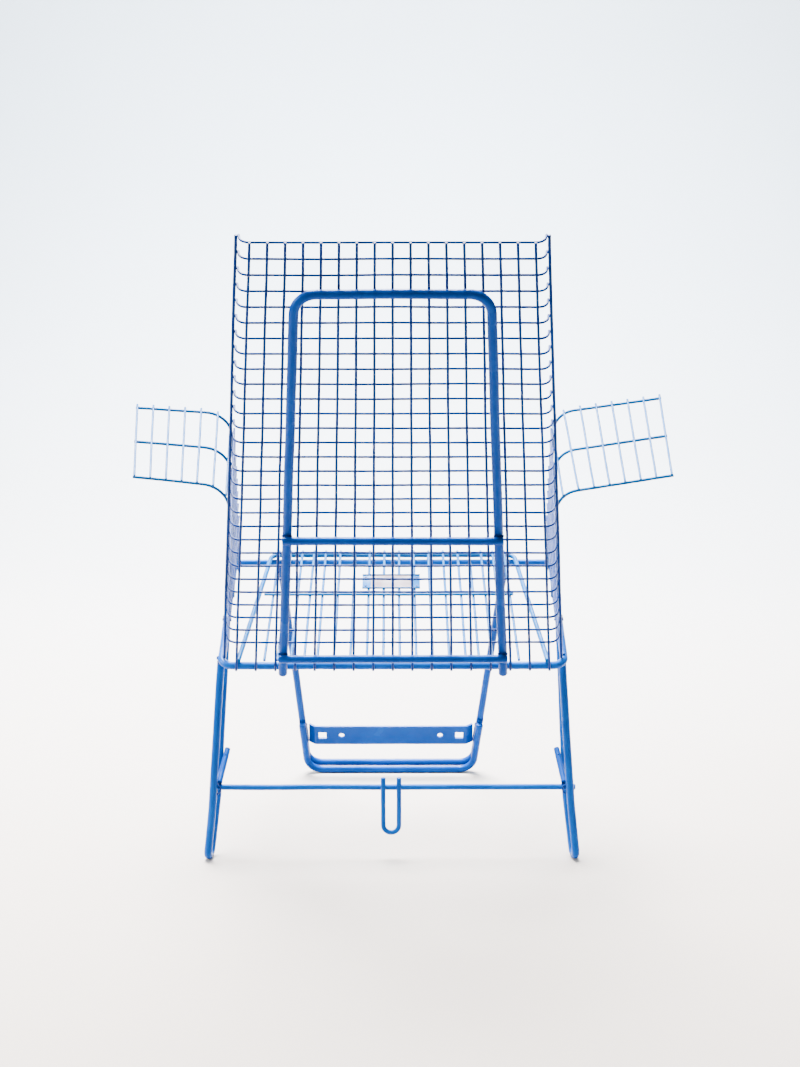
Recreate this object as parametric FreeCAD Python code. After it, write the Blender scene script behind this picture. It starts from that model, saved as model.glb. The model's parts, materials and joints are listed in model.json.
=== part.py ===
import FreeCAD, Part
import os
from math import acos, asin, atan, atan2, cos, pi, radians, sin, sqrt, tan

# A small armchair of welded steel wire and rod, made from the parts of a wire basket.
# The basket's floor is the chair's back and its hinged end gate is the seat.
# The upper parts of its side walls are folded outwards as armrests.
# X points to the sitter's left, -Y to the front and Z up, all in millimetres.
# The origin is on the floor, in the middle plane, halfway between the rear bar and the front foot.

V = FreeCAD.Vector

# Rod, wire and tube sizes
frame_rod_d = 8.0
mesh_wire_d = 2.3
column_wire_d = 2.6
side_wire_d = 3.0
front_crossbar_d = 6.5
back_tube_d = 9.0
back_tube_wall = 1.2
back_tube_bar_d = 8.0
rear_crossbar_d = 6.0
loop_wire_d = 5.0
stub_d = 6.0
gate_rod_d = 5.0
gate_wire_d = 2.9

# Gaps: welded pieces, the gate at rest on the rear bar, and the hooks on their crossbar
weld_gap = 0.05
rest_gap = 0.3
hinge_clearance = 0.1

# Stance and the two main slopes
stance = 278.0
seat_rear_height = 205.0
seat_slope = radians(19.0)
seat_depth = 200.0
recline = radians(25.1)

# Back mesh: rows and columns of welded wire
row_pitch = 16.0
row_count = 29
walled_row_count = 9
lowest_row = 32.8
column_count = 17
column_edge_top = 12.64
column_edge_bottom = 13.0
column_tail = 2.0
column_top_stub = 1.2
row_bend_radius = 9.5
hook_reach = 15.5

# Side walls: a flange rod beside the back and three long wires that fold out as an armrest
flange_depth = 12.5
flange_half_width_top = 136.0
flange_inset = 2.9
flange_top_stub = 1.5
rim_inset = 5.6
rim_taper = 1.4
wall_height = 184.0
arm_wire_depth = 66.0
arm_wire_pitch = 62.5
arm_stub = 1.6
arm_cross_start = 168.0
arm_cross_pitch_near = 15.3
arm_cross_pitch_rim = 16.4
cross_stub = 2.5

# Left and right armrests, which were bent by hand and differ a little
left_arm_cross_wires = 7
left_arm_level_near = 177.0
left_arm_level_rim = 180.5
left_arm_rise_near = radians(7.2)
left_arm_rise_rim = radians(4.4)
left_arm_bend_radius = 28.0
right_arm_cross_wires = 8
right_arm_level_near = 168.2
right_arm_level_rim = 181.2
right_arm_rise_near = radians(11.1)
right_arm_rise_rim = radians(9.6)
right_arm_bend_radius = 24.0

# Seat frame
rail_half_width = 173.5
ring_corner_radius = 13.0
rail_end = 5.0

# Tube on the rear of the back, with its two crossbars
tube_top = 434.5
tube_half_width_top = 86.1
tube_half_width_bottom = 110.5
tube_tail = 1.9
tube_corner_radius = 20.5
upper_bar_height = 171.5
lower_bar_height = 25.4

# Rear legs: hairpins of rod, spread out from the rails, whose outer halves lean back to the feet
leg_shift = 1.3
leg_top_spread = -0.5
leg_top_forward = 13.0
leg_top_rise = 3.0
foot_back = 8.0
leg_knee_height = 60.0
leg_knee_spread = 9.7
foot_spread = 15.5
foot_twist = 2.5
knee_radius = 60.0
foot_turn_radius = 7.5
foot_bend_share = 0.94
brace_knee_spread = 6.8
brace_rail_place = 84.0

# Rear crossbar, its hanging loop and the two cut stubs
crossbar_height = 74.5
crossbar_spread = 13.5
loop_offset = 2.0
loop_width = 16.0
loop_bend_share = 0.98
loop_rise = 9.0
loop_bottom = 27.5
stub_length = 42.0
stub_rise = radians(36.0)
stub_brace_gap = 0.8
stub_root_spread = 3.0
stub_hole_d = 1.6
stub_hole_place = 10.0

# Front leg frame, the short foot frame behind it and the plate between the legs
leg_half_width_top = 123.3
leg_half_width_bottom = 95.6
front_sway = 3.0
leg_frame_lift = 4.0
leg_corner_radius = 18.0
foot_frame_height = 65.0
plate_height = 25.0
plate_thickness = 2.5
plate_centre = 47.5
plate_forward = 3.0
plate_bend_width = 7.0
plate_bend_radius = 4.0
square_hole = 8.9
square_hole_spacing = 157.8
round_hole_d = 6.4
round_hole_spacing = 113.6

# Hinged seat gate
gate_front_overhang = 4.0
gate_rear_end = -2.0
gate_rear_inset = 17.7
gate_half_width_front = 132.5
gate_corner_radius = 9.0
inner_wire_pitch = 16.7
outer_wire_pitch = 13.35
inner_wire_pairs = 5
outer_wire_pairs = 4
hinge_wire_pair = 3
gate_wire_shift = 1.3
gate_fan = 0.955
gate_wire_rear_end = 4.6
gate_wire_rear_height = 3.2
wire_hook_drop = 5.0
gate_cross_place = 118.0
gate_cross_left = 136.0
gate_cross_right = 127.6
hinge_hook_rise = 2.5

# Label holder on the seat
label_place = 143.0
label_length = 61.5
label_width = 25.5
label_sheet = 0.8
label_lip_height = 2.0
label_offset = 1.8
card_margin = 9.0
card_thickness = 0.5
rivet_d = 2.6
rivet_height = 0.7
rivet_end_inset = 3.4
rivet_side_inset = 4.6

# Widths that follow from the rails'
flange_half_width_bottom = rail_half_width - flange_inset
rim_half_width_bottom = rail_half_width - rim_inset
rim_half_width_top = rim_half_width_bottom - rim_taper
column_pairs = (column_count - 1) / 2
column_pitch_top = (flange_half_width_top - column_edge_top) / column_pairs
column_pitch_bottom = (flange_half_width_bottom - column_edge_bottom) / column_pairs
leg_top_half_width = rail_half_width + leg_top_spread
leg_knee_half_width = rail_half_width + leg_knee_spread
foot_half_width = rail_half_width + foot_spread
brace_knee_half_width = rail_half_width + brace_knee_spread
crossbar_half_length = rail_half_width + crossbar_spread
stub_root_half_width = rail_half_width + stub_root_spread
gate_half_width_rear = rail_half_width - gate_rear_inset

# Directions and places that follow from these sizes
X_AXIS = V(1, 0, 0)
BACK_UP = V(0, sin(recline), cos(recline))
BACK_IN = V(0, -cos(recline), sin(recline))
SEAT_FORWARD = V(0, -cos(seat_slope), sin(seat_slope))
SEAT_UP = V(0, sin(seat_slope), cos(seat_slope))
rod_r = frame_rod_d / 2
mesh_r = mesh_wire_d / 2
column_r = column_wire_d / 2
side_r = side_wire_d / 2
back_length = lowest_row + (row_count - 1) * row_pitch
rear_bar = V(0, stance / 2, seat_rear_height)
front_foot = V(0, -stance / 2, rod_r)
wall_lean = recline - seat_slope
rim_depth = arm_wire_depth + 2 * arm_wire_pitch


def on_back(x, up, inward):
    """A point on the back: up it from the rear bar, and inward from where rows meet columns."""
    return rear_bar + X_AXIS * x + BACK_UP * up + BACK_IN * (inward - rod_r)


def on_seat(x, forward, above):
    """A point on the seat: forward from the rear bar's axis and above the seat frame's plane."""
    return rear_bar + X_AXIS * x + SEAT_FORWARD * forward + SEAT_UP * above


front_crossbar_axis = on_seat(0, seat_depth, 0)
leg_frame_offset = frame_rod_d + weld_gap
toe_to_seat = front_crossbar_axis - front_foot
leg_lean = atan2(toe_to_seat.y, toe_to_seat.z) + asin(leg_frame_offset / toe_to_seat.Length)
LEG_UP = V(0, sin(leg_lean), cos(leg_lean))
LEG_FRONT = V(0, -cos(leg_lean), sin(leg_lean))
leg_length = toe_to_seat.dot(LEG_UP)


def on_leg(x, up, front):
    """A point on the front legs: up them from the foot bar's axis and in front of it."""
    sway = front_sway * (1 - up / leg_length)
    return front_foot + X_AXIS * (x + sway) + LEG_UP * up + LEG_FRONT * front


straight_enough = 0.0005


class Path:
    """A bent rod's axis: straight runs joined by tangent arcs, measured along its length."""

    def __init__(self, corners, radii):
        self.parts = []
        here = corners[0]
        for corner, after, radius in zip(corners[1:-1], corners[2:], radii):
            into = (corner - here).normalize()
            out = (after - corner).normalize()
            turn = acos(max(-1.0, min(1.0, into.dot(out))))
            if turn < straight_enough:
                continue
            reach = radius * tan(turn / 2)
            start = corner - into * reach
            side = (out - into * into.dot(out)).normalize()
            self.parts.append(("run", here, start, (start - here).Length, into))
            self.parts.append(("bend", start, side, radius * turn, into, radius))
            here = corner + out * reach
        into = (corners[-1] - here).normalize()
        self.parts.append(("run", here, corners[-1], (corners[-1] - here).Length, into))

    def at(self, distance):
        """The point and direction at a distance along the axis."""
        for part in self.parts:
            if distance <= part[3] or part is self.parts[-1]:
                break
            distance -= part[3]
        if part[0] == "run":
            return part[1] + part[4] * distance, part[4]
        start, side, into, radius = part[1], part[2], part[4], part[5]
        angle = distance / radius
        point = start + into * (radius * sin(angle)) + side * (radius * (1 - cos(angle)))
        return point, into * cos(angle) + side * sin(angle)

    def wire(self):
        edges = []
        place = 0.0
        for part in self.parts:
            if part[0] == "run":
                edges.append(Part.LineSegment(part[1], part[2]).toShape())
            else:
                ends = [self.at(place + part[3] * share)[0] for share in (0.0, 0.5, 1.0)]
                edges.append(Part.Arc(*ends).toShape())
            place += part[3]
        return Part.Wire(edges)


def sweep(path, diameter):
    """A round rod along a path."""
    start, direction = path.at(0.0)
    profile = Part.Wire(Part.makeCircle(diameter / 2, start, direction))
    return path.wire().makePipeShell([profile], True, False)


def rod(corners, radii, diameter):
    return sweep(Path(corners, radii), diameter)


def bar(start, end, diameter):
    return Part.makeCylinder(diameter / 2, (end - start).Length, start, end - start)


def largest(shape):
    """What is left of a rod when the rod that it is shaped to sit on has cut off its end."""
    return max(shape.Solids, key=lambda piece: piece.Volume)


def block(centre, along, across, length, width, thickness):
    """A flat block centred on a point, with its thickness square to the two directions."""
    normal = along.cross(across).normalize()
    corner = centre - along * (length / 2) - across * (width / 2) - normal * (thickness / 2)
    points = [corner, corner + along * length, corner + along * length + across * width,
              corner + across * width, corner]
    return Part.Face(Part.makePolygon(points)).extrude(normal * thickness)


def export(name, solids):
    shape = solids[0] if len(solids) == 1 else Part.makeCompound(solids)
    for solid in solids:
        if not solid.isValid() or solid.Volume <= 0:
            raise ValueError(f"{name} has a solid that is not sound")
    shape.exportStep(f"parts/{name}.step")
    print(f"{name}: {len(solids)} solid(s), {shape.Volume:.0f} mm3")


# Back mesh

def column_x(index, up):
    pitch = column_pitch_bottom + (column_pitch_top - column_pitch_bottom) * up / back_length
    return (index - column_pairs) * pitch


def back_columns():
    """Long wires on the rear side of the back, from the top row down over the rear bar."""
    depth = -column_r - weld_gap
    top = back_length + column_top_stub
    return [bar(on_back(column_x(i, top), top, depth),
                on_back(column_x(i, -column_tail), -column_tail, depth), column_wire_d)
            for i in range(column_count)]


def wall_x(up, inward):
    """Half the width between the side walls' long wires, at a place on the walls."""
    taper = (flange_half_width_top - flange_half_width_bottom) / back_length
    flange_x = flange_half_width_bottom + taper * up
    rim_x = rim_half_width_bottom + (rim_half_width_top - rim_half_width_bottom) * up / wall_height
    share = (inward - flange_depth) / (rim_depth - flange_depth)
    return flange_x + (rim_x - flange_x) * share


row_inset = side_r + mesh_r + weld_gap


def row_height(index):
    return lowest_row + index * row_pitch


def row_wire(up, reach):
    """A row across the back whose two ends turn inwards along the side walls."""
    depth = mesh_r + weld_gap
    end_x = wall_x(up, reach) - row_inset
    corner_x = wall_x(up, depth) - row_inset
    corners = [on_back(end_x, up, reach), on_back(corner_x, up, depth),
               on_back(-corner_x, up, depth), on_back(-end_x, up, reach)]
    return rod(corners, [row_bend_radius] * 2, mesh_wire_d)


# Side walls and armrests

def rail_up(inward):
    """Where the seat rails' axis passes, measured up the back at a depth inward."""
    return -(inward - rod_r) * tan(wall_lean)


def foot_on_rail(x, inward):
    """How far up the back a side wire ends, on the round of the rail or beside it."""
    overlap = abs(rail_half_width - x) - side_r
    reach = rod_r + weld_gap
    tilt = side_r * tan(wall_lean)
    if overlap >= reach:
        return rail_up(inward) - rod_r
    return rail_up(inward) + sqrt(reach ** 2 - max(overlap, 0.0) ** 2) / cos(wall_lean) + tilt


def flange_rod(side):
    top = back_length + flange_top_stub
    foot = foot_on_rail(wall_x(0, flange_depth), flange_depth)
    return bar(on_back(side * wall_x(top, flange_depth), top, flange_depth),
               on_back(side * wall_x(foot, flange_depth), foot, flange_depth), side_wire_d)


def between(near, rim, line):
    """A value on the near, middle or rim wire, from its values on the near and rim wires."""
    return near + (rim - near) * line / 2


class Armrest:
    """Three side wires bent outwards at the top of a wall, with cross wires on their upper side."""

    def __init__(self, side, count, level_near, level_rim, rise_near, rise_rim, bend_radius):
        self.side = side
        self.count = count
        self.bend_radius = bend_radius
        self.levels = [between(level_near, level_rim, line) for line in range(3)]
        self.rises = [between(rise_near, rise_rim, line) for line in range(3)]
        self.pitches = [between(arm_cross_pitch_near, arm_cross_pitch_rim, line) for line in range(3)]

    def cross_place(self, line, index):
        """How far along a side wire a cross wire lies, counted up from the rear bar's level."""
        return arm_cross_start + index * self.pitches[line]

    def path(self, line):
        """A side wire's axis, up from the rail and out along the armrest, and where it starts."""
        inward = arm_wire_depth + line * arm_wire_pitch
        level, rise = self.levels[line], self.rises[line]
        foot = foot_on_rail(wall_x(0, inward), inward)
        foot_x, corner_x = wall_x(foot, inward), wall_x(level, inward)
        lean = atan((foot_x - corner_x) / (level - foot))
        turn = pi / 2 - rise + lean
        saved_by_bend = self.bend_radius * (2 * tan(turn / 2) - turn)
        up_run = (level - foot) / cos(lean)
        length = self.cross_place(line, self.count - 1) + arm_stub - foot
        reach = length + saved_by_bend - up_run
        tip_x = corner_x + reach * cos(rise)
        tip_up = level + reach * sin(rise)
        corners = [on_back(self.side * foot_x, foot, inward),
                   on_back(self.side * corner_x, level, inward),
                   on_back(self.side * tip_x, tip_up, inward)]
        return Path(corners, [self.bend_radius]), foot

    def side_wire(self, line):
        return sweep(self.path(line)[0], side_wire_d)

    def cross_wire(self, index):
        points = []
        for line in range(3):
            path, foot = self.path(line)
            point, direction = path.at(self.cross_place(line, index) - foot)
            inner = direction.cross(BACK_IN).normalize() * self.side
            points.append(point - inner * row_inset)
        near, middle, rim = points
        start = near + (near - middle).normalize() * cross_stub
        end = rim + (rim - middle).normalize() * cross_stub
        return rod([start, middle, end], [arm_wire_pitch / 2], mesh_wire_d)


# Seat frame

def seat_ring(extra=0.0):
    """The rear bar and the two side rails, bent from one rod, or that shape a little thicker."""
    front = seat_depth + front_crossbar_d / 2 + rail_end
    corners = [on_seat(rail_half_width, front, 0), on_seat(rail_half_width, 0, 0),
               on_seat(-rail_half_width, 0, 0), on_seat(-rail_half_width, front, 0)]
    return rod(corners, [ring_corner_radius] * 2, frame_rod_d + extra)


def front_crossbar():
    half = rail_half_width - rod_r - weld_gap
    return bar(on_seat(half, seat_depth, 0), on_seat(-half, seat_depth, 0), front_crossbar_d)


# Tube on the back

tube_depth = -(column_wire_d + 2 * weld_gap + back_tube_d / 2)


def tube_x(up):
    share = (up + tube_tail) / (tube_top + tube_tail)
    return tube_half_width_bottom + (tube_half_width_top - tube_half_width_bottom) * share


def back_tube():
    """A tube bent to a long hoop, open at its two lower ends."""
    corners = [on_back(tube_x(-tube_tail), -tube_tail, tube_depth),
               on_back(tube_x(tube_top), tube_top, tube_depth),
               on_back(-tube_x(tube_top), tube_top, tube_depth),
               on_back(-tube_x(-tube_tail), -tube_tail, tube_depth)]
    radii = [tube_corner_radius] * 2
    return rod(corners, radii, back_tube_d).cut(rod(corners, radii, back_tube_d - 2 * back_tube_wall))


def tube_bar(up):
    depth = tube_depth - back_tube_d / 2 - weld_gap - back_tube_bar_d / 2
    half = tube_x(up) + back_tube_d / 2
    return bar(on_back(half, up, depth), on_back(-half, up, depth), back_tube_bar_d)


# Rear legs

leg_top_z = seat_rear_height + leg_top_rise
leg_slant = (leg_top_forward + foot_back) / (leg_top_z - rod_r)


def leg_place(half_width, y, z, side):
    """A point on a rear leg. Both legs stand a little to the sitter's left."""
    return V(side * half_width + leg_shift, y, z)


def rear_leg_y(z):
    """How far back the outer half of a rear leg is at a height."""
    return rear_bar.y - leg_top_forward + leg_slant * (leg_top_z - z)


def brace_x(z, side):
    """Where the inner half of a rear leg is across the chair, at a height above its knee."""
    knee_x = leg_place(brace_knee_half_width, 0, leg_knee_height, side).x
    top = on_seat(side * rail_half_width, brace_rail_place, 0)
    return knee_x + (top.x - knee_x) * (z - leg_knee_height) / (top.z - leg_knee_height)


def rear_leg(side):
    """A hairpin: down from under the seat ring's corner, round at the foot and up to the side rail."""
    brace = on_seat(side * rail_half_width, brace_rail_place, 0)
    foot_y = rear_leg_y(rod_r)
    brace_y = foot_y - 2 * foot_turn_radius
    share = (leg_knee_height - rod_r) / (brace.z - rod_r)
    knee_y = brace_y + (brace.y - brace_y) * share
    corners = [leg_place(leg_top_half_width, rear_leg_y(leg_top_z), leg_top_z, side),
               leg_place(leg_knee_half_width, rear_leg_y(leg_knee_height), leg_knee_height, side),
               leg_place(foot_half_width, foot_y, rod_r, side),
               leg_place(foot_half_width - foot_twist, brace_y, rod_r, side),
               leg_place(brace_knee_half_width, knee_y, leg_knee_height, side),
               brace]
    turn = foot_turn_radius * foot_bend_share
    pin = rod(corners, [knee_radius, turn, turn, knee_radius], frame_rod_d)
    return largest(pin.cut(seat_ring(2 * weld_gap)))


crossbar_reach = (rod_r + weld_gap + rear_crossbar_d / 2) * sqrt(1 + leg_slant ** 2)
crossbar_y = rear_leg_y(crossbar_height) - crossbar_reach


def rear_crossbar():
    ends = [V(side * crossbar_half_length, crossbar_y, crossbar_height) for side in (1, -1)]
    return bar(ends[0], ends[1], rear_crossbar_d)


def hanging_loop():
    """A long loop of wire that hangs from the rear crossbar, on its rear side."""
    y = crossbar_y + rear_crossbar_d / 2 + weld_gap + loop_wire_d / 2
    top = crossbar_height + rear_crossbar_d / 2 + loop_rise
    half = loop_width / 2
    corners = [V(loop_offset + half, y, top), V(loop_offset + half, y, loop_bottom),
               V(loop_offset - half, y, loop_bottom), V(loop_offset - half, y, top)]
    return rod(corners, [half * loop_bend_share] * 2, loop_wire_d)


def cut_stub(side):
    """The cut end of a side rod that rises from the rear crossbar past the leg's brace."""
    stub_r = stub_d / 2
    root_z = crossbar_height + stub_r * cos(stub_rise) + rear_crossbar_d / 2
    root = leg_place(stub_root_half_width, crossbar_y, root_z, side)
    tip_z = root_z + stub_length * sin(stub_rise)
    tip_x = brace_x(tip_z, side) - side * (rod_r + stub_r + stub_brace_gap)
    tip = V(tip_x, crossbar_y - stub_length * cos(stub_rise), tip_z)
    along = (tip - root).normalize()
    hole_centre = tip - along * stub_hole_place
    across = along.cross(X_AXIS).normalize()
    hole = bar(hole_centre - across * stub_d, hole_centre + across * stub_d, stub_hole_d)
    return bar(root, tip, stub_d).cut(hole)


# Front legs

def leg_x(up):
    return leg_half_width_bottom + (leg_half_width_top - leg_half_width_bottom) * up / leg_length


def leg_hoop(bottom, top, front):
    """A hoop of rod with a level foot bar and two legs that spread upwards."""
    corners = [on_leg(leg_x(top), top, front), on_leg(leg_x(bottom), bottom, front),
               on_leg(-leg_x(bottom), bottom, front), on_leg(-leg_x(top), top, front)]
    return rod(corners, [leg_corner_radius] * 2, frame_rod_d)


def front_leg_frame():
    hoop = leg_hoop(leg_frame_lift, leg_length, leg_frame_offset)
    half = V(rail_half_width, 0, 0)
    seat = bar(front_crossbar_axis - half, front_crossbar_axis + half, front_crossbar_d + 2 * weld_gap)
    return largest(hoop.cut(seat))


def front_plate():
    """A flat bar between the legs, its ends bent forward to them, with four bolt holes."""
    end_x = leg_x(plate_centre - plate_height / 2) - rod_r - weld_gap - plate_thickness / 2
    bend_x = end_x - plate_bend_width
    corners = [on_leg(end_x, plate_centre, leg_frame_offset),
               on_leg(bend_x, plate_centre, plate_forward),
               on_leg(-bend_x, plate_centre, plate_forward),
               on_leg(-end_x, plate_centre, leg_frame_offset)]
    path = Path(corners, [plate_bend_radius] * 2)
    start, along = path.at(0.0)
    across = along.cross(LEG_UP).normalize()
    half_up = LEG_UP * (plate_height / 2)
    half_thick = across * (plate_thickness / 2)
    section = [start - half_up - half_thick, start + half_up - half_thick,
               start + half_up + half_thick, start - half_up + half_thick,
               start - half_up - half_thick]
    plate = path.wire().makePipeShell([Part.makePolygon(section)], True, False)
    for side in (1, -1):
        square = on_leg(side * square_hole_spacing / 2, plate_centre, plate_forward)
        plate = plate.cut(block(square, X_AXIS, LEG_UP, square_hole, square_hole, 3 * plate_thickness))
        rear = on_leg(side * round_hole_spacing / 2, plate_centre, plate_forward - plate_thickness)
        front = on_leg(side * round_hole_spacing / 2, plate_centre, plate_forward + plate_thickness)
        plate = plate.cut(bar(rear, front, round_hole_d))
    return plate.Solids[0]


# Seat gate

gate_rod_r = gate_rod_d / 2
gate_wire_r = gate_wire_d / 2
gate_height = rod_r + gate_rod_r + rest_gap
gate_front = seat_depth + gate_front_overhang
wrap_radius = gate_rod_r + gate_wire_r + weld_gap
gate_wire_tilt = atan((gate_height + wrap_radius - gate_wire_rear_height)
                      / (gate_front - gate_wire_rear_end))


def gate_rim():
    """A hoop of rod: the front bar and two side rods whose cut ends rest over the rear bar."""
    corners = [on_seat(gate_half_width_rear, gate_rear_end, gate_height),
               on_seat(gate_half_width_front, gate_front, gate_height),
               on_seat(-gate_half_width_front, gate_front, gate_height),
               on_seat(-gate_half_width_rear, gate_rear_end, gate_height)]
    return rod(corners, [gate_corner_radius] * 2, gate_rod_d)


def gate_wire_x(pair):
    """How far a pair of gate wires stands from the middle, at their rear ends."""
    inner = min(pair, inner_wire_pairs) - 0.5
    outer = max(pair - inner_wire_pairs, 0)
    return inner * inner_wire_pitch + outer * outer_wire_pitch


def gate_wire_height(forward):
    """How high the gate's long wires run above the seat frame's plane."""
    return gate_wire_rear_height + (forward - gate_wire_rear_end) * tan(gate_wire_tilt)


def gate_wire_corners(x):
    front = gate_front + wrap_radius
    over = gate_height + wrap_radius * (1 / cos(gate_wire_tilt) + tan(gate_wire_tilt))
    return [on_seat(x, gate_wire_rear_end, gate_wire_rear_height),
            on_seat(x * gate_fan, front, over)], front


def gate_wire(x):
    """A long wire of the seat, hooked over the gate's front bar."""
    corners, front = gate_wire_corners(x)
    corners.append(on_seat(x * gate_fan, front, gate_height + wrap_radius - wire_hook_drop))
    return rod(corners, [wrap_radius], gate_wire_d)


def hinge_wire(x):
    """A long wire that goes on round the front crossbar, as one of the gate's two hinges."""
    corners, front = gate_wire_corners(x)
    turn = front_crossbar_d / 2 + gate_wire_r + hinge_clearance
    corners += [on_seat(x * gate_fan, front, -turn),
                on_seat(x * gate_fan, seat_depth - turn, -turn),
                on_seat(x * gate_fan, seat_depth - turn, hinge_hook_rise)]
    return rod(corners, [wrap_radius, turn, turn], gate_wire_d)


def gate_cross_wire():
    above = gate_wire_height(gate_cross_place) + gate_wire_d / cos(gate_wire_tilt) + weld_gap
    return bar(on_seat(gate_cross_left, gate_cross_place, above),
               on_seat(-gate_cross_right, gate_cross_place, above), gate_wire_d)


WIRE_FORWARD = SEAT_FORWARD * cos(gate_wire_tilt) + SEAT_UP * sin(gate_wire_tilt)
WIRE_UP = SEAT_UP * cos(gate_wire_tilt) - SEAT_FORWARD * sin(gate_wire_tilt)


def on_label(x, forward, above):
    """A point on the label holder: above the top of the gate wires that carry it."""
    wire = on_seat(label_offset + x, label_place, gate_wire_height(label_place))
    return wire + WIRE_FORWARD * forward + WIRE_UP * (gate_wire_r + weld_gap + above)


def label_plate():
    """A shallow sheet tray with its two long edges turned up."""
    tray = block(on_label(0, 0, label_sheet / 2), X_AXIS, WIRE_FORWARD,
                 label_length, label_width, label_sheet)
    for side in (1, -1):
        edge = side * (label_width - label_sheet) / 2
        lip = block(on_label(0, edge, label_lip_height / 2), X_AXIS, WIRE_FORWARD,
                    label_length, label_sheet, label_lip_height)
        tray = tray.fuse(lip)
    return tray.removeSplitter().Solids[0]


card_width = label_width - 2 * (label_sheet + weld_gap)
card_length = label_length - 2 * card_margin
card_above = label_sheet + weld_gap + card_thickness / 2


def label_card():
    return block(on_label(0, 0, card_above), X_AXIS, WIRE_FORWARD,
                 card_length, card_width, card_thickness)


def label_rivets():
    """Four flat rivet heads at the tray's corners, beyond the card."""
    solids = []
    for side_x in (1, -1):
        for side_y in (1, -1):
            x = side_x * (label_length / 2 - rivet_end_inset)
            y = side_y * (label_width / 2 - rivet_side_inset)
            foot = on_label(x, y, label_sheet + weld_gap)
            solids.append(bar(foot, foot + WIRE_UP * rivet_height, rivet_d))
    return solids


os.makedirs("parts", exist_ok=True)

export("back_column_wires", back_columns())
walled_rows = range(walled_row_count)
flange_rows = range(walled_row_count, row_count)
export("basket_row_wires", [row_wire(row_height(i), rim_depth + cross_stub) for i in walled_rows])
export("back_row_wires", [row_wire(row_height(i), hook_reach) for i in flange_rows])

armrests = {
    "left": Armrest(1, left_arm_cross_wires, left_arm_level_near, left_arm_level_rim,
                    left_arm_rise_near, left_arm_rise_rim, left_arm_bend_radius),
    "right": Armrest(-1, right_arm_cross_wires, right_arm_level_near, right_arm_level_rim,
                     right_arm_rise_near, right_arm_rise_rim, right_arm_bend_radius)}
for name, arm in armrests.items():
    export(f"flange_rod_{name}", [flange_rod(arm.side)])
    for line, place in enumerate(("near", "mid", "rim")):
        export(f"arm_wire_{place}_{name}", [arm.side_wire(line)])
    export(f"armrest_cross_wires_{name}", [arm.cross_wire(i) for i in range(arm.count)])
    export(f"rear_leg_{name}", [rear_leg(arm.side)])
    export(f"cut_stub_{name}", [cut_stub(arm.side)])

export("seat_ring", [seat_ring()])
export("front_crossbar", [front_crossbar()])
export("back_tube", back_tube().Solids)
export("tube_bar_upper", [tube_bar(upper_bar_height)])
export("tube_bar_lower", [tube_bar(lower_bar_height)])
export("rear_crossbar", [rear_crossbar()])
export("hanging_loop", [hanging_loop()])
export("front_leg_frame", [front_leg_frame()])
export("front_foot_frame", [leg_hoop(0, foot_frame_height, 0)])
export("front_plate", [front_plate()])

pairs = range(1, inner_wire_pairs + outer_wire_pairs + 1)
places = {pair: [side * gate_wire_x(pair) + gate_wire_shift for side in (1, -1)] for pair in pairs}
hinged = places.pop(hinge_wire_pair)
export("gate_rim_rod", [gate_rim()])
export("gate_long_wires", [gate_wire(x) for both in places.values() for x in both])
export("gate_hinge_wires", [hinge_wire(x) for x in hinged])
export("gate_cross_wire", [gate_cross_wire()])
export("label_plate", [label_plate()])
export("label_card", [label_card()])
export("label_rivets", label_rivets())
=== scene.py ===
# %% [markdown]
# # A small armchair made from a wire basket
# The real chair is steel wire, rod and tube, welded together and painted bright blue with gloss enamel.
# Its back is the floor of a basket, its arms are the basket's side walls folded out, and its seat is the
# basket's hinged end gate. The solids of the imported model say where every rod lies, so this script only
# dresses them: it draws each rod again as a smooth, slightly uneven, painted piece, and adds the welds.

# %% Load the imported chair
import json
from math import acos, asin, atan, atan2, ceil, cos, pi, radians, sin, sqrt, tan

import bpy
import numpy as np
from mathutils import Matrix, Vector, noise


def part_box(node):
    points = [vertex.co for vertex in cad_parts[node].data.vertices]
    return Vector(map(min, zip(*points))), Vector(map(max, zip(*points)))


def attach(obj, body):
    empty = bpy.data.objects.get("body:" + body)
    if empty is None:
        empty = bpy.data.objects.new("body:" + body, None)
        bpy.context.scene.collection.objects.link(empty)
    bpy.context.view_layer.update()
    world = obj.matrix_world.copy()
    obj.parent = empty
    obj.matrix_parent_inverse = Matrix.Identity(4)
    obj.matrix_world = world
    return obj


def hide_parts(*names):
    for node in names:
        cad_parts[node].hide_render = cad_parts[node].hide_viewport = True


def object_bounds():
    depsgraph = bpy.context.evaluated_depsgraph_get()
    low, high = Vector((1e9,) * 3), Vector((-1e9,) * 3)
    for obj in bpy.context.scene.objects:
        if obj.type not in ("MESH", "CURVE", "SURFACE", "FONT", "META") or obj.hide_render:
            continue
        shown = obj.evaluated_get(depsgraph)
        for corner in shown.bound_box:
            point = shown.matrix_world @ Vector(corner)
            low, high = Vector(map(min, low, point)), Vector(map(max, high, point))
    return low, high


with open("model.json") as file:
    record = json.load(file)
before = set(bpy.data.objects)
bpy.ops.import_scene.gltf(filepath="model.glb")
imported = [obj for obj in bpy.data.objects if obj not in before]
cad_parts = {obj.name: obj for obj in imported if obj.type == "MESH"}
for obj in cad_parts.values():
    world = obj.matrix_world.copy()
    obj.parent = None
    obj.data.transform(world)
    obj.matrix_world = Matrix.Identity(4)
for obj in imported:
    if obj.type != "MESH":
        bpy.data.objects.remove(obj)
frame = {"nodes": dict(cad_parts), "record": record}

solid_low, solid_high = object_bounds()
body_of = {node: body for body, nodes in frame["record"]["behaviour"]["bodies"].items() for node in nodes}

# %% [markdown]
# ## Camera
# The photograph looks at the back of the chair from a little above. The convergence of its upright and
# level lines gives the distance and the tilt, so the camera is placed by real distances and its lens is
# worked out from the picture's height. A camera that is placed by eye would need guessing at every render.

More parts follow.
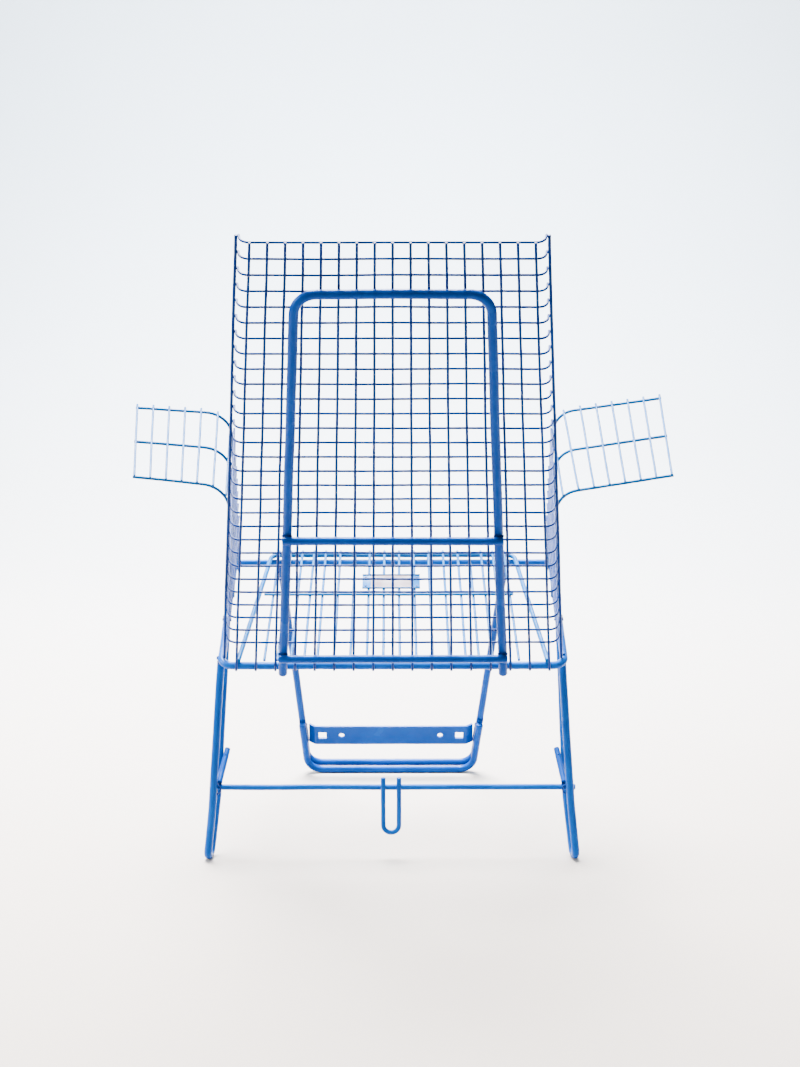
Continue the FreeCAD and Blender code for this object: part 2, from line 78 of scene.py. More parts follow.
# %% Camera
photo_width, photo_height = 800, 1067
focal_pixels = 1980.0
middle_plane_pixel = 392.7
camera_back = 2.069
camera_height = 0.7345
camera_pitch = radians(11.526)
sensor_size = 36.0

camera_data = bpy.data.cameras.new("studio_camera")
camera_data.sensor_fit = "AUTO"
camera_data.sensor_width = sensor_size
camera_data.lens = sensor_size * focal_pixels / photo_height
camera = bpy.data.objects.new("studio_camera", camera_data)
bpy.context.scene.collection.objects.link(camera)
camera_turn = atan((photo_width / 2 - middle_plane_pixel) / focal_pixels)
camera.location = (0, camera_back, camera_height)
camera.rotation_euler = (pi / 2 - camera_pitch, 0, pi - camera_turn)
bpy.context.scene.camera = camera
print(f"Lens {camera_data.lens:.1f} mm, {camera_back - solid_high.y:.2f} m behind the chair")

# %% [markdown]
# ## Light
# A bright room lights the real chair from above and from the front, so the seat and the arms shine pale
# blue while the back, seen from behind, stays deep. A warm area light over the seat and a cool one on the
# backdrop give that, with a weak one from the side for the edges, and the finishes add painted light and
# shade to it. A light by the camera would flatten it.

# %% Soft studio light
chair_middle = Vector((0, 0, 0.3))
floor_under_seat = Vector((0, -0.25, 0))
backdrop_middle = Vector((0, -2.2, 1.0))
warm_white, sky_white, day_white = (1.0, 0.90, 0.83), (0.62, 0.80, 1.0), (1.0, 0.99, 0.97)
room_white = (0.92, 0.96, 1.0, 1.0)
room_strength = 0.4


def soft_light(name, place, target, size, power, beam, colour):
    """A square area light that faces a target."""
    data = bpy.data.lights.new(name, "AREA")
    data.size = size
    data.energy = power
    data.spread = beam
    data.color = colour
    light = bpy.data.objects.new(name, data)
    light.location = place
    light.rotation_euler = (target - Vector(place)).to_track_quat("-Z", "Y").to_euler()
    bpy.context.scene.collection.objects.link(light)
    return light


soft_light("ceiling_light", (0.3, -0.8, 2.6), floor_under_seat, size=1.5, power=365.0, beam=radians(95),
           colour=warm_white)
soft_light("backdrop_light", (0.0, -0.9, 3.0), backdrop_middle, size=1.6, power=500.0, beam=radians(100),
           colour=sky_white)
soft_light("window_light", (2.4, 0.2, 1.3), chair_middle, size=1.0, power=45.0, beam=radians(90),
           colour=day_white)

world = bpy.data.worlds.new("dim pale room")
world.use_nodes = True
room = world.node_tree.nodes["Background"]
room.inputs["Color"].default_value = room_white
room.inputs["Strength"].default_value = room_strength
bpy.context.scene.world = world
print("Three soft lights and a dim pale room")

# %% [markdown]
# ## Shader building blocks
# Every finish here is a graph of nodes. One helper adds a node, sets it up and links what it is given,
# and a few more stand for the commonest nodes, so that a graph reads from top to bottom like a recipe.

# %% Node helpers


def add_node(tree, kind, inputs=None, **settings):
    """Adds a node, sets its own settings, and fills its inputs with values or with links."""
    made = tree.nodes.new(kind)
    for name, value in settings.items():
        setattr(made, name, value)
    for name, value in (inputs or {}).items():
        if isinstance(value, bpy.types.NodeSocket):
            tree.links.new(value, made.inputs[name])
        else:
            made.inputs[name].default_value = value
    return made


def calculate(tree, operation, *values):
    """A Math node of one operation, and its result."""
    return add_node(tree, "ShaderNodeMath", dict(enumerate(values)), operation=operation).outputs[0]


def blend_colours(tree, factor, first, second):
    """A Mix node for two colours, and its result. It has its colours at inputs 6 and 7."""
    mixed = add_node(tree, "ShaderNodeMix", {0: factor, 6: first, 7: second}, data_type="RGBA")
    return mixed.outputs[2]


def spread(tree, value, low, high, to_low=0.0, to_high=1.0):
    """A Map Range node that stretches a value and clamps it."""
    stretched = add_node(tree, "ShaderNodeMapRange", {
        "Value": value, "From Min": low, "From Max": high, "To Min": to_low, "To Max": to_high})
    return stretched.outputs[0]


def grain(tree, place, scale, detail):
    """A Noise Texture node over a place, and its value."""
    noise_node = add_node(tree, "ShaderNodeTexNoise", {"Vector": place, "Scale": scale, "Detail": detail})
    return noise_node.outputs[0]


def add_socket(tree, name, kind, way="INPUT"):
    return tree.interface.new_socket(name, in_out=way, socket_type=f"NodeSocket{kind}")


print("Node helpers are ready")

# %% [markdown]
# ## Gloss enamel
# The whole chair was painted by hand or spray over old, rough steel: the coat is glossy and even in
# colour, but it has orange peel, small sags, and chips that show rust and dark primer. One node group
# makes that coat, because rods, mesh, seat and welds all share it with other amounts. A picture of
# paint would stretch along the thin rods, and Object coordinates don't.

# %% Enamel coat group
mottle_scale, peel_scale = 26.0, 1500.0
thin_from, thin_full = 0.42, 0.68
sag_scale = (150.0, 150.0, 110.0)
peel_share = 0.25
chip_cells = 85.0
chip_radius = 0.055
chip_depth = 0.8
chip_fade = 1.35
ragged_scale, ragged_share = 900.0, 0.06
thin_dulls, chip_dulls = 0.08, 0.45


def make_enamel_coat():
    """Colour, roughness and height of gloss enamel on steel, with sags, orange peel and chips."""
    tree = bpy.data.node_groups.new("enamel coat", "ShaderNodeTree")
    for name in ("Paint", "Thin Paint", "Chip"):
        add_socket(tree, name, "Color")
    for name in ("Chip Share", "Chip Size", "Gloss Roughness"):
        add_socket(tree, name, "Float")
    add_socket(tree, "Color", "Color", "OUTPUT")
    for name in ("Roughness", "Height"):
        add_socket(tree, name, "Float", "OUTPUT")
    given = add_node(tree, "NodeGroupInput").outputs
    place = add_node(tree, "ShaderNodeTexCoord").outputs["Object"]

    thin = spread(tree, grain(tree, place, mottle_scale, 4.0), thin_from, thin_full)
    coat = blend_colours(tree, thin, given["Paint"], given["Thin Paint"])

    stretched = add_node(tree, "ShaderNodeMapping", {"Vector": place, "Scale": sag_scale})
    sag = grain(tree, stretched.outputs[0], 1.0, 2.0)
    peel = grain(tree, place, peel_scale, 1.0)

    cells = add_node(tree, "ShaderNodeTexVoronoi", {"Vector": place, "Scale": chip_cells})
    ragged = calculate(tree, "MULTIPLY_ADD", grain(tree, place, ragged_scale, 3.0), ragged_share,
                       cells.outputs["Distance"])
    size = calculate(tree, "MULTIPLY", given["Chip Size"], chip_radius)
    inside = spread(tree, calculate(tree, "DIVIDE", ragged, size), chip_fade, 1.0)
    dice = add_node(tree, "ShaderNodeSeparateColor", {0: cells.outputs["Color"]}).outputs[0]
    chosen = calculate(tree, "LESS_THAN", dice, given["Chip Share"])
    chip = calculate(tree, "MULTIPLY", inside, chosen)

    out = add_node(tree, "NodeGroupOutput").inputs
    tree.links.new(blend_colours(tree, chip, coat, given["Chip"]), out["Color"])
    dull = calculate(tree, "MULTIPLY_ADD", thin, thin_dulls, given["Gloss Roughness"])
    tree.links.new(calculate(tree, "MULTIPLY_ADD", chip, chip_dulls, dull), out["Roughness"])
    waves = calculate(tree, "MULTIPLY_ADD", peel, peel_share, sag)
    tree.links.new(calculate(tree, "MULTIPLY_ADD", chip, -chip_depth, waves), out["Height"])
    return tree


enamel_coat = make_enamel_coat()
print(f"The enamel coat has {len(enamel_coat.nodes)} nodes")

# %% [markdown]
# ## The chair's finishes
# The shader itself stays in each material, with its clear top layer set on its own sockets. The real
# chair is one blue, but its parts take the light differently, so each gets its own mix of painted light
# and shade: the thin mesh gets the deepest blue as painted shade, the tube and the front frames a deeper
# blue for the chair's own shade, the seat and the arms a greener blue for the light they get, and welds
# are lumpier and chip sooner.

# %% Enamel materials
rust = (0.055, 0.022, 0.018, 1.0)
clear_top = {"IOR": 1.5, "Specular IOR Level": 0.15, "Specular Tint": (0.1, 0.4, 1.0, 1.0),
             "Coat Weight": 0.03, "Coat Roughness": 0.08}


def enamel(name, paint, thin_paint, chip_share, chip_size, roughness, relief):
    """A painted steel material. Relief is how far the coat's waves stand up, in metres."""
    material = bpy.data.materials.new(name)
    material.use_nodes = True
    tree = material.node_tree
    coat = add_node(tree, "ShaderNodeGroup", {
        "Paint": (*paint, 1.0), "Thin Paint": (*thin_paint, 1.0), "Chip": rust, "Chip Share": chip_share,
        "Chip Size": chip_size, "Gloss Roughness": roughness}, node_tree=enamel_coat).outputs
    bump = add_node(tree, "ShaderNodeBump", {"Height": coat["Height"], "Distance": relief})
    shader = tree.nodes["Principled BSDF"]
    tree.links.new(coat["Color"], shader.inputs["Base Color"])
    tree.links.new(coat["Roughness"], shader.inputs["Roughness"])
    tree.links.new(bump.outputs[0], shader.inputs["Normal"])
    for socket, value in clear_top.items():
        shader.inputs[socket].default_value = value
    return material


rod_blue = enamel("rod enamel", paint=(0.0003, 0.055, 0.290), thin_paint=(0.0005, 0.070, 0.350),
                  chip_share=0.030, chip_size=1.0, roughness=0.24, relief=0.00005)
# Painted shade: a deeper copy of the one blue for the tube hoop, its bars, the front frames, the plate and
# the stubs.
shaded_frame_blue = enamel("tube enamel", paint=(0.0003, 0.032, 0.200), thin_paint=(0.0005, 0.042, 0.250),
                   chip_share=0.030, chip_size=1.0, roughness=0.22, relief=0.00005)
# Painted shade: the deepest copy of the one blue, for the back mesh and the flange rods.
shaded_mesh_blue = enamel("mesh enamel", paint=(0.0005, 0.013, 0.100), thin_paint=(0.0005, 0.018, 0.140),
                   chip_share=0.035, chip_size=0.8, roughness=0.26, relief=0.00004)
# Painted light: a greener, deeper copy of the one blue for the arms, which face the light.
lit_arm_blue = enamel("armrest enamel", paint=(0.0003, 0.058, 0.200), thin_paint=(0.0005, 0.074, 0.250),
                  chip_share=0.020, chip_size=0.8, roughness=0.22, relief=0.00005)
# Painted light: a greener, deeper copy of the one blue for the seat and its label tray, which face the
# light.
lit_seat_blue = enamel("seat enamel", paint=(0.0003, 0.068, 0.235), thin_paint=(0.0005, 0.086, 0.290),
                   chip_share=0.020, chip_size=0.8, roughness=0.22, relief=0.00005)
weld_blue = enamel("weld enamel", paint=(0.0005, 0.022, 0.150), thin_paint=(0.001, 0.028, 0.180),
                   chip_share=0.070, chip_size=0.9, roughness=0.30, relief=0.00008)

# %% [markdown]
# ## Sizes
# The rods follow rules: rows at an even pitch, columns that fan a little, legs that are hairpins. The same
# driving sizes as the solids', in metres, let each rod's centre line be worked out exactly. Tracing the
# solids' triangles would give rougher lines and say nothing about how the chair is made.

# %% Rod, wire and tube sizes
frame_rod_d = 0.008
mesh_wire_d = 0.0023
column_wire_d = 0.0026
side_wire_d = 0.003
front_crossbar_d = 0.0065
back_tube_d = 0.009
back_tube_wall = 0.0012
back_tube_bar_d = 0.008
rear_crossbar_d = 0.006
loop_wire_d = 0.005
stub_d = 0.006
gate_rod_d = 0.005
gate_wire_d = 0.0029
weld_gap = 0.00005
rest_gap = 0.0003
hinge_clearance = 0.0001
print(f"Frame rods are {frame_rod_d * 1000:.0f} mm thick, mesh wires {mesh_wire_d * 1000:.1f} mm")

# %% Stance, slopes and the back mesh
stance = 0.278
seat_rear_height = 0.205
seat_slope = radians(19.0)
seat_depth = 0.200
recline = radians(25.1)
row_pitch = 0.016
row_count = 29
walled_row_count = 9
lowest_row = 0.0328
column_count = 17
column_pitch_top = 0.01542
column_pitch_bottom = 0.0197
column_tail = 0.002
column_top_stub = 0.0012
row_bend_radius = 0.0095
hook_reach = 0.0155
print(f"The back has {column_count} columns and {row_count} rows")

# %% Side walls and armrests
flange_depth = 0.0125
flange_half_width_top = 0.136
flange_half_width_bottom = 0.1706
flange_top_stub = 0.0015
rim_half_width_bottom = 0.1679
rim_half_width_top = 0.1665
wall_height = 0.184
arm_wire_depth = 0.066
arm_wire_pitch = 0.0625
arm_stub = 0.0016
arm_cross_start = 0.168
arm_cross_pitch_near = 0.0153
arm_cross_pitch_rim = 0.0164
cross_stub = 0.0025
arm_shapes = {
    "left": {"side": 1, "count": 7, "levels": (0.177, 0.1805), "rises": (radians(7.2), radians(4.4)),
             "bend_radius": 0.028},
    "right": {"side": -1, "count": 8, "levels": (0.1682, 0.1812), "rises": (radians(11.1), radians(9.6)),
              "bend_radius": 0.024}}
print({f"{name} arm": f"{shape['count']} cross wires" for name, shape in arm_shapes.items()})

# %% Seat frame, tube hoop and legs
rail_half_width = 0.1735
ring_corner_radius = 0.013
rail_end = 0.005
tube_top = 0.4345
tube_half_width_top = 0.0861
tube_half_width_bottom = 0.1105
tube_tail = 0.0019
tube_corner_radius = 0.0205
upper_bar_height = 0.1715
lower_bar_height = 0.0254
leg_shift = 0.0013
leg_top_half_width = 0.173
leg_top_forward = 0.013
leg_top_rise = 0.003
foot_back = 0.008
leg_knee_height = 0.060
leg_knee_half_width = 0.1832
foot_half_width = 0.189
foot_twist = 0.0025
knee_radius = 0.060
foot_turn_radius = 0.0075
foot_bend_share = 0.94
brace_knee_half_width = 0.1803
brace_rail_place = 0.084
crossbar_height = 0.0745
crossbar_half_length = 0.187
loop_offset = 0.002
loop_width = 0.016
loop_rise = 0.009
loop_bottom = 0.0275
loop_bend_share = 0.98
stub_length = 0.042
stub_rise = radians(36.0)
stub_brace_gap = 0.0008
stub_root_half_width = 0.1765
leg_half_width_top = 0.1233
leg_half_width_bottom = 0.0956
front_sway = 0.003
leg_frame_lift = 0.004
leg_corner_radius = 0.018
foot_frame_height = 0.065
plate_height = 0.025
plate_centre = 0.0475
print(f"The seat frame is {2 * rail_half_width * 1000:.0f} mm wide")

# %% Seat gate and its label
gate_front_overhang = 0.004
gate_rear_end = -0.002
gate_half_width_rear = 0.1558
gate_half_width_front = 0.1325
gate_corner_radius = 0.009
inner_wire_pitch = 0.0167
outer_wire_pitch = 0.01335
inner_wire_pairs = 5
outer_wire_pairs = 4
hinge_wire_pair = 3
gate_wire_shift = 0.0013
gate_fan = 0.955
gate_wire_rear_end = 0.0046
gate_wire_rear_height = 0.0032
wire_hook_drop = 0.005
gate_cross_place = 0.118
gate_cross_left = 0.136
gate_cross_right = 0.1276
hinge_hook_rise = 0.0025
label_place = 0.143
label_length = 0.0615
label_width = 0.0255
label_sheet = 0.0008
label_lip_height = 0.002
label_offset = 0.0018
card_margin = 0.009
card_thickness = 0.0005
rivet_d = 0.0026
rivet_height = 0.0007
rivet_end_inset = 0.0034
rivet_side_inset = 0.0046
print(f"The gate has {2 * (inner_wire_pairs + outer_wire_pairs)} long wires")

# %% [markdown]
# ## Three slanted drawing boards
# Nothing on the chair is square to the floor. The back leans, the seat slopes and the front legs splay,
# so each of them gets its own pair of directions and a function that turns "across, along, out of the
# plane" into a point. Rotating finished objects would do the same, but the pieces have to keep their
# place in their meshes.

# %% Directions and places
across = Vector((1, 0, 0))
back_up = Vector((0, sin(recline), cos(recline)))
back_in = Vector((0, -cos(recline), sin(recline)))
seat_forward = Vector((0, -cos(seat_slope), sin(seat_slope)))
seat_up = Vector((0, sin(seat_slope), cos(seat_slope)))
rod_r = frame_rod_d / 2
mesh_r = mesh_wire_d / 2
column_r = column_wire_d / 2
side_r = side_wire_d / 2
back_length = lowest_row + (row_count - 1) * row_pitch
rear_bar = Vector((0, stance / 2, seat_rear_height))
front_foot = Vector((0, -stance / 2, rod_r))
wall_lean = recline - seat_slope
rim_depth = arm_wire_depth + 2 * arm_wire_pitch


def on_back(x, up, inward):
    """A point on the back: up it from the rear bar, and inward from where rows meet columns."""
    return rear_bar + across * x + back_up * up + back_in * (inward - rod_r)


def on_seat(x, forward, above):
    """A point on the seat: forward from the rear bar's axis and above the seat frame's plane."""
    return rear_bar + across * x + seat_forward * forward + seat_up * above


front_crossbar_axis = on_seat(0, seat_depth, 0)
leg_frame_offset = frame_rod_d + weld_gap
toe_to_seat = front_crossbar_axis - front_foot
leg_lean = atan2(toe_to_seat.y, toe_to_seat.z) + asin(leg_frame_offset / toe_to_seat.length)
leg_up = Vector((0, sin(leg_lean), cos(leg_lean)))
leg_front = Vector((0, -cos(leg_lean), sin(leg_lean)))
leg_length = toe_to_seat.dot(leg_up)


def on_leg(x, up, front):
    """A point on the front legs: up them from the foot bar's axis and in front of it."""
    sway = front_sway * (1 - up / leg_length)
    return front_foot + across * (x + sway) + leg_up * up + leg_front * front


print(f"The front legs lean back by {leg_lean:.3f} rad and are {leg_length:.3f} m long")

# %% [markdown]
# ## A rod's centre line
# A bent rod is straight runs joined by arcs that are tangent to them, as the bending former makes them.
# A Bezier curve could draw it, but its bends would have no true radius. This class keeps the runs and
# arcs and gives the point at any distance along them. Most rods are straight or are hoops that are
# alike on both sides, so each of these two shapes has a helper.

# %% Centre line of runs and arcs
straight_enough = 0.0005
run_step = 0.010
bend_step = radians(9.0)


class Centreline:
    """A bent rod's axis: straight runs joined by tangent arcs, measured along its length."""

    def __init__(self, corners, radii):
        self.parts = []
        here = corners[0]
        for corner, after, radius in zip(corners[1:-1], corners[2:], radii):
            into = (corner - here).normalized()
            out = (after - corner).normalized()
            turn = acos(max(-1.0, min(1.0, into.dot(out))))
            if turn < straight_enough:
                continue
            reach = radius * tan(turn / 2)
            start = corner - into * reach
            side = (out - into * into.dot(out)).normalized()
            self.parts.append(("run", here, (start - here).length, into))
            self.parts.append(("bend", start, radius * turn, into, side, radius))
            here = corner + out * reach
        into = (corners[-1] - here).normalized()
        self.parts.append(("run", here, (corners[-1] - here).length, into))
        self.length = sum(part[2] for part in self.parts)

    def at(self, distance):
        """The point and direction at a distance along the axis."""
        for part in self.parts:
            if distance <= part[2] or part is self.parts[-1]:
                break
            distance -= part[2]
        if part[0] == "run":
            return part[1] + part[3] * distance, part[3]
        start, into, side, radius = part[1], part[3], part[4], part[5]
        angle = distance / radius
        point = start + into * (radius * sin(angle)) + side * (radius * (1 - cos(angle)))
        return point, into * cos(angle) + side * sin(angle)

    def stations(self):
        """Distances for the rings of a mesh: close together in bends, wide apart on runs."""
        marks = [0.0]
        for part in self.parts:
            wanted = part[2] / run_step if part[0] == "run" else part[2] / part[5] / bend_step
            count = max(1, ceil(wanted))
            marks += [marks[-1] + part[2] * (k + 1) / count for k in range(count)]
        return marks


def straight(first, last):
    """The centre line of a straight rod."""
    return Centreline([first, last], [])


def hoop(board, end, corner, radius):
    """A hoop that is alike on both sides: from its end up to a corner, across, and down again."""
    places = [end, corner, (-corner[0], *corner[1:]), (-end[0], *end[1:])]
    return Centreline([board(*place) for place in places], [radius] * 2)


print("Centre lines measure along runs and arcs")

# %% [markdown]
# ## Settling
# Welded wire is never quite straight. Every point of every rod is moved by one smooth field of noise, so
# rods that touch move together and stay in touch. The field fades out beside the hinge, where the gate
# needs its clearance, and at the outside of the chair, which keeps its size. Blender's noise vectors
# start from the clock unless they are given a seed, so a fixed one makes every run bend alike.

# %% Field of small bends
settle_amount = 0.00045
settle_wave = 0.07
settle_seed = 5
noise.seed_set(settle_seed)
edge_fade = 0.012
hinge_near, hinge_far = 0.015, 0.060


def fade(value, low, high):
    """Rises smoothly from 0 at low to 1 at high."""
    share = max(0.0, min(1.0, (value - low) / (high - low)))
    return share * share * (3 - 2 * share)


def settle(point):
    """Moves a point by a fraction of a millimetre, alike for all rods that pass near it."""
    margin = min(min(point[i] - solid_low[i], solid_high[i] - point[i]) for i in range(3))
    from_hinge = Vector((0, point.y - front_crossbar_axis.y, point.z - front_crossbar_axis.z)).length
    amount = settle_amount * fade(margin, 0.0, edge_fade) * fade(from_hinge, hinge_near, hinge_far)
    return point + noise.noise_vector(point / settle_wave) * amount


back_middle = on_back(0, back_length / 2, 0)
middle_shift = (settle(back_middle) - back_middle).length
print(f"The middle of the back moves by {middle_shift * 1000:.2f} mm")

# %% [markdown]
# ## From line to rod with Geometry Nodes
# A tree turns each centre line into a tube: Mesh to Curve, then Curve to Mesh with a circle whose size
# comes from an attribute of the line, so cut ends can be rounded by making their last rings smaller. A
# little noise along the normals is the uneven coat of paint. Sweeping in Python would work as well, but
# the tree keeps the number of sides and the paint's lumps as inputs that a reader can change.

# %% Tree for painted rods


def move_outwards(tree, geometry, height):
    """Moves each point of a geometry along its normal by a height, and shades the result smoothly."""
    normal = add_node(tree, "GeometryNodeInputNormal").outputs[0]
    offset = add_node(tree, "ShaderNodeVectorMath", {0: normal, "Scale": height}, operation="SCALE")
    moved = add_node(tree, "GeometryNodeSetPosition", {"Geometry": geometry, "Offset": offset.outputs[0]})
    return add_node(tree, "GeometryNodeSetShadeSmooth", {"Geometry": moved.outputs[0]}).outputs[0]


def finish_tree(tree, geometry, paint):
    """Ends a geometry tree: copies become real, and the result gets its paint."""
    real = add_node(tree, "GeometryNodeRealizeInstances", {"Geometry": geometry})
    painted = add_node(tree, "GeometryNodeSetMaterial", {"Geometry": real.outputs[0], "Material": paint})
    out = add_node(tree, "NodeGroupOutput")
    tree.links.new(painted.outputs[0], out.inputs[0])
    return tree


def make_rod_tree():
    """A geometry tree that sweeps a circle along lines, with a radius for each of their points."""
    tree = bpy.data.node_groups.new("painted rods", "GeometryNodeTree")
    for name, kind in (("Lines", "Geometry"), ("Sides", "Int"), ("Closed Ends", "Bool"),
                       ("Coat Lumps", "Float"), ("Lump Scale", "Float"), ("Paint", "Material")):
        add_socket(tree, name, kind)
    add_socket(tree, "Rods", "Geometry", "OUTPUT")
    given = add_node(tree, "NodeGroupInput").outputs
    radius = add_node(tree, "GeometryNodeInputNamedAttribute", {"Name": "radius"}, data_type="FLOAT")
    lines = add_node(tree, "GeometryNodeMeshToCurve", {"Mesh": given["Lines"]})
    circle = add_node(tree, "GeometryNodeCurvePrimitiveCircle", {
        "Resolution": given["Sides"], "Radius": 1.0})
    swept = add_node(tree, "GeometryNodeCurveToMesh", {
        "Curve": lines.outputs[0], "Profile Curve": circle.outputs[0],
        "Scale": radius.outputs[0], "Fill Caps": given["Closed Ends"]})
    lumps = add_node(tree, "ShaderNodeTexNoise", {"Scale": given["Lump Scale"], "Detail": 1.0})
    swing = calculate(tree, "SUBTRACT", lumps.outputs[0], 0.5)
    height = calculate(tree, "MULTIPLY", swing, given["Coat Lumps"])
    coated = move_outwards(tree, swept.outputs[0], height)
    return finish_tree(tree, coated, given["Paint"])


rod_tree = make_rod_tree()
print(f"The rod tree has {len(rod_tree.nodes)} nodes")

# %% Running trees and modifiers, and placing a piece


def run_tree(name, source_mesh, tree, values):
    """Runs a geometry tree on a mesh and returns its result as a plain mesh."""
    source = bpy.data.objects.new(name, source_mesh)
    bpy.context.scene.collection.objects.link(source)
    modifier = source.modifiers.new("grow", "NODES")
    modifier.node_group = tree
    for item in tree.interface.items_tree:
        if item.in_out == "INPUT" and item.name in values:
            modifier[item.identifier] = values[item.name]
    return plain_mesh(source)


def plain_mesh(source):
    """The mesh of an object with its modifiers applied. The object itself goes away."""
    ready = source.evaluated_get(bpy.context.evaluated_depsgraph_get())
    mesh = bpy.data.meshes.new_from_object(ready)
    bpy.data.objects.remove(source)
    return mesh


def shaped(name, mesh, kind, **settings):
    """The mesh with one modifier applied, such as a wall or a bevel."""
    source = bpy.data.objects.new(name, mesh)
    bpy.context.scene.collection.objects.link(source)
    modifier = source.modifiers.new("shape", kind)
    for setting, value in settings.items():
        setattr(modifier, setting, value)
    return plain_mesh(source)


def place_piece(name, mesh, body, nodes=()):
    """Links a finished piece at the origin, on its body, in place of its solids."""
    piece = bpy.data.objects.new(name, mesh)
    mesh.name = name
    bpy.context.scene.collection.objects.link(piece)
    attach(piece, body)
    if nodes:
        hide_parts(*nodes)
    return piece


print("Trees and modifiers can be run")

# %% Rods by node
end_rounding = 0.35
rim_shares = (0.15, 0.5, 1.0)
thick_rod = 0.0022
rod_skin = {"Sides": 28, "Coat Lumps": 0.00010, "Lump Scale": 140.0}
wire_skin = {"Sides": 14, "Coat Lumps": 0.00005, "Lump Scale": 260.0}
rods = []


class Rod:
    """One painted rod: its body, its centre line, and its radius."""

    def __init__(self, node, line, diameter):
        self.body = body_of[node]
        self.line = line
        self.radius = diameter / 2

    def rings(self):
        """The settled points of the rod's rings, and a radius for each, smaller at the cut ends."""
        rim = self.radius * end_rounding
        near = [rim * share for share in rim_shares]
        marks = set(self.line.stations() + near + [self.line.length - d for d in near])
        points, radii = [], []
        for mark in sorted(marks):
            to_end = min(mark, self.line.length - mark, rim)
            points.append(settle(self.line.at(mark)[0]))
            radii.append(self.radius - rim + sqrt(max(rim ** 2 - (rim - to_end) ** 2, 0.0)))
        return points, radii


print(f"Rods have {rod_skin['Sides']} sides and wires {wire_skin['Sides']}")

# %% Painting the rods of a node


def lines_mesh(name, members):
    """A mesh of bare edges along the rods, with their radii as an attribute."""
    points, radii, edges = [], [], []
    for rod in members:
        ring_points, ring_radii = rod.rings()
        first = len(points)
        edges += [(first + k, first + k + 1) for k in range(len(ring_points) - 1)]
        points += ring_points
        radii += ring_radii
    mesh = bpy.data.meshes.new(name)
    mesh.from_pydata(points, edges, [])
    mesh.attributes.new("radius", "FLOAT", "POINT").data.foreach_set("value", radii)
    return mesh


def box_difference(mesh, node):
    """How far any side of a mesh's box is from the same side of its node's solids."""
    low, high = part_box(node)
    sides = [[vertex.co[i] for vertex in mesh.vertices] for i in range(3)]
    return max(max(abs(min(side) - low[i]), abs(max(side) - high[i])) for i, side in enumerate(sides))


def painted_rods(node, lines, diameter, material, hollow_wall=0.0):
    """Makes one CAD node's rods as a smooth painted piece that stands for it."""
    members = [Rod(node, line, diameter) for line in lines]
    rods.extend(members)
    skin = rod_skin if diameter / 2 > thick_rod else wire_skin
    name = f"painted_{node}"
    mesh = run_tree(name, lines_mesh(name, members), rod_tree,
                    {**skin, "Closed Ends": hollow_wall == 0.0, "Paint": material})
    if hollow_wall:
        mesh = shaped(name, mesh, "SOLIDIFY", thickness=hollow_wall, offset=-1)
    piece = place_piece(name, mesh, body_of[node], [node])
    print(f"{name}: {len(members)} rod(s), {len(mesh.polygons)} faces, "
          f"box within {box_difference(mesh, node) * 1000:.2f} mm")
    return piece


# %% [markdown]
# ## Back mesh
# Seventeen long wires run down the back and twenty-nine rows lie on their inner side, welded at each
# crossing. The upper rows end in short hooks beside the flange rods. The lower nine go on round the
# basket's side walls. All of it follows two pitches, so loops place the wires.

# %% Back wires


def column_x(index, up):
    pitch = column_pitch_bottom + (column_pitch_top - column_pitch_bottom) * up / back_length
    return (index - (column_count - 1) / 2) * pitch


def column_line(index):
    depth = -column_r - weld_gap
    top = back_length + column_top_stub
    return straight(on_back(column_x(index, top), top, depth),
                    on_back(column_x(index, -column_tail), -column_tail, depth))


def wall_x(up, inward):
    """Half the width between the side walls' long wires, at a place on the walls."""
    taper = (flange_half_width_top - flange_half_width_bottom) / back_length
    flange_x = flange_half_width_bottom + taper * up
    rim_x = rim_half_width_bottom + (rim_half_width_top - rim_half_width_bottom) * up / wall_height
    share = (inward - flange_depth) / (rim_depth - flange_depth)
    return flange_x + (rim_x - flange_x) * share


row_inset = side_r + mesh_r + weld_gap


def row_line(index, reach):
    """A row across the back whose two ends turn inwards along the side walls."""
    up = lowest_row + index * row_pitch
    depth = mesh_r + weld_gap
    end_x = wall_x(up, reach) - row_inset
    corner_x = wall_x(up, depth) - row_inset
    return hoop(on_back, (end_x, up, reach), (corner_x, up, depth), row_bend_radius)


painted_rods("back_column_wires", [column_line(i) for i in range(column_count)], column_wire_d, shaded_mesh_blue)
painted_rods("basket_row_wires", [row_line(i, rim_depth + cross_stub) for i in range(walled_row_count)],
             mesh_wire_d, shaded_mesh_blue)
painted_rods("back_row_wires", [row_line(i, hook_reach) for i in range(walled_row_count, row_count)],
             mesh_wire_d, shaded_mesh_blue)

# %% [markdown]
# ## Side walls and armrests
# A flange rod stiffens each edge of the back. Three more wires rise from each seat rail and are bent
# outwards by hand to carry the arm, so the left and the right arm differ a little in height and slope.

# %% Flange rods and feet of the side wires


def rail_up(inward):
    """Where the seat rails' axis passes, measured up the back at a depth inward."""
    return -(inward - rod_r) * tan(wall_lean)


def foot_on_rail(x, inward):
    """How far up the back a side wire ends, on the round of the rail or beside it."""
    overlap = abs(rail_half_width - x) - side_r
    reach = rod_r + weld_gap
    if overlap >= reach:
        return rail_up(inward) - rod_r
    rise = sqrt(reach ** 2 - max(overlap, 0.0) ** 2) / cos(wall_lean)
    return rail_up(inward) + rise + side_r * tan(wall_lean)


def flange_line(side):
    top = back_length + flange_top_stub
    foot = foot_on_rail(wall_x(0, flange_depth), flange_depth)
    return straight(on_back(side * wall_x(top, flange_depth), top, flange_depth),
                    on_back(side * wall_x(foot, flange_depth), foot, flange_depth))


rim_foot = foot_on_rail(wall_x(0, rim_depth), rim_depth)
print(f"At the rim, the side wires end {-rim_foot * 1000:.1f} mm under the rear bar's level")

# %% Armrests


def between(near, rim, line):
    """A value on the near, middle or rim wire, from its values on the near and rim wires."""
    return near + (rim - near) * line / 2


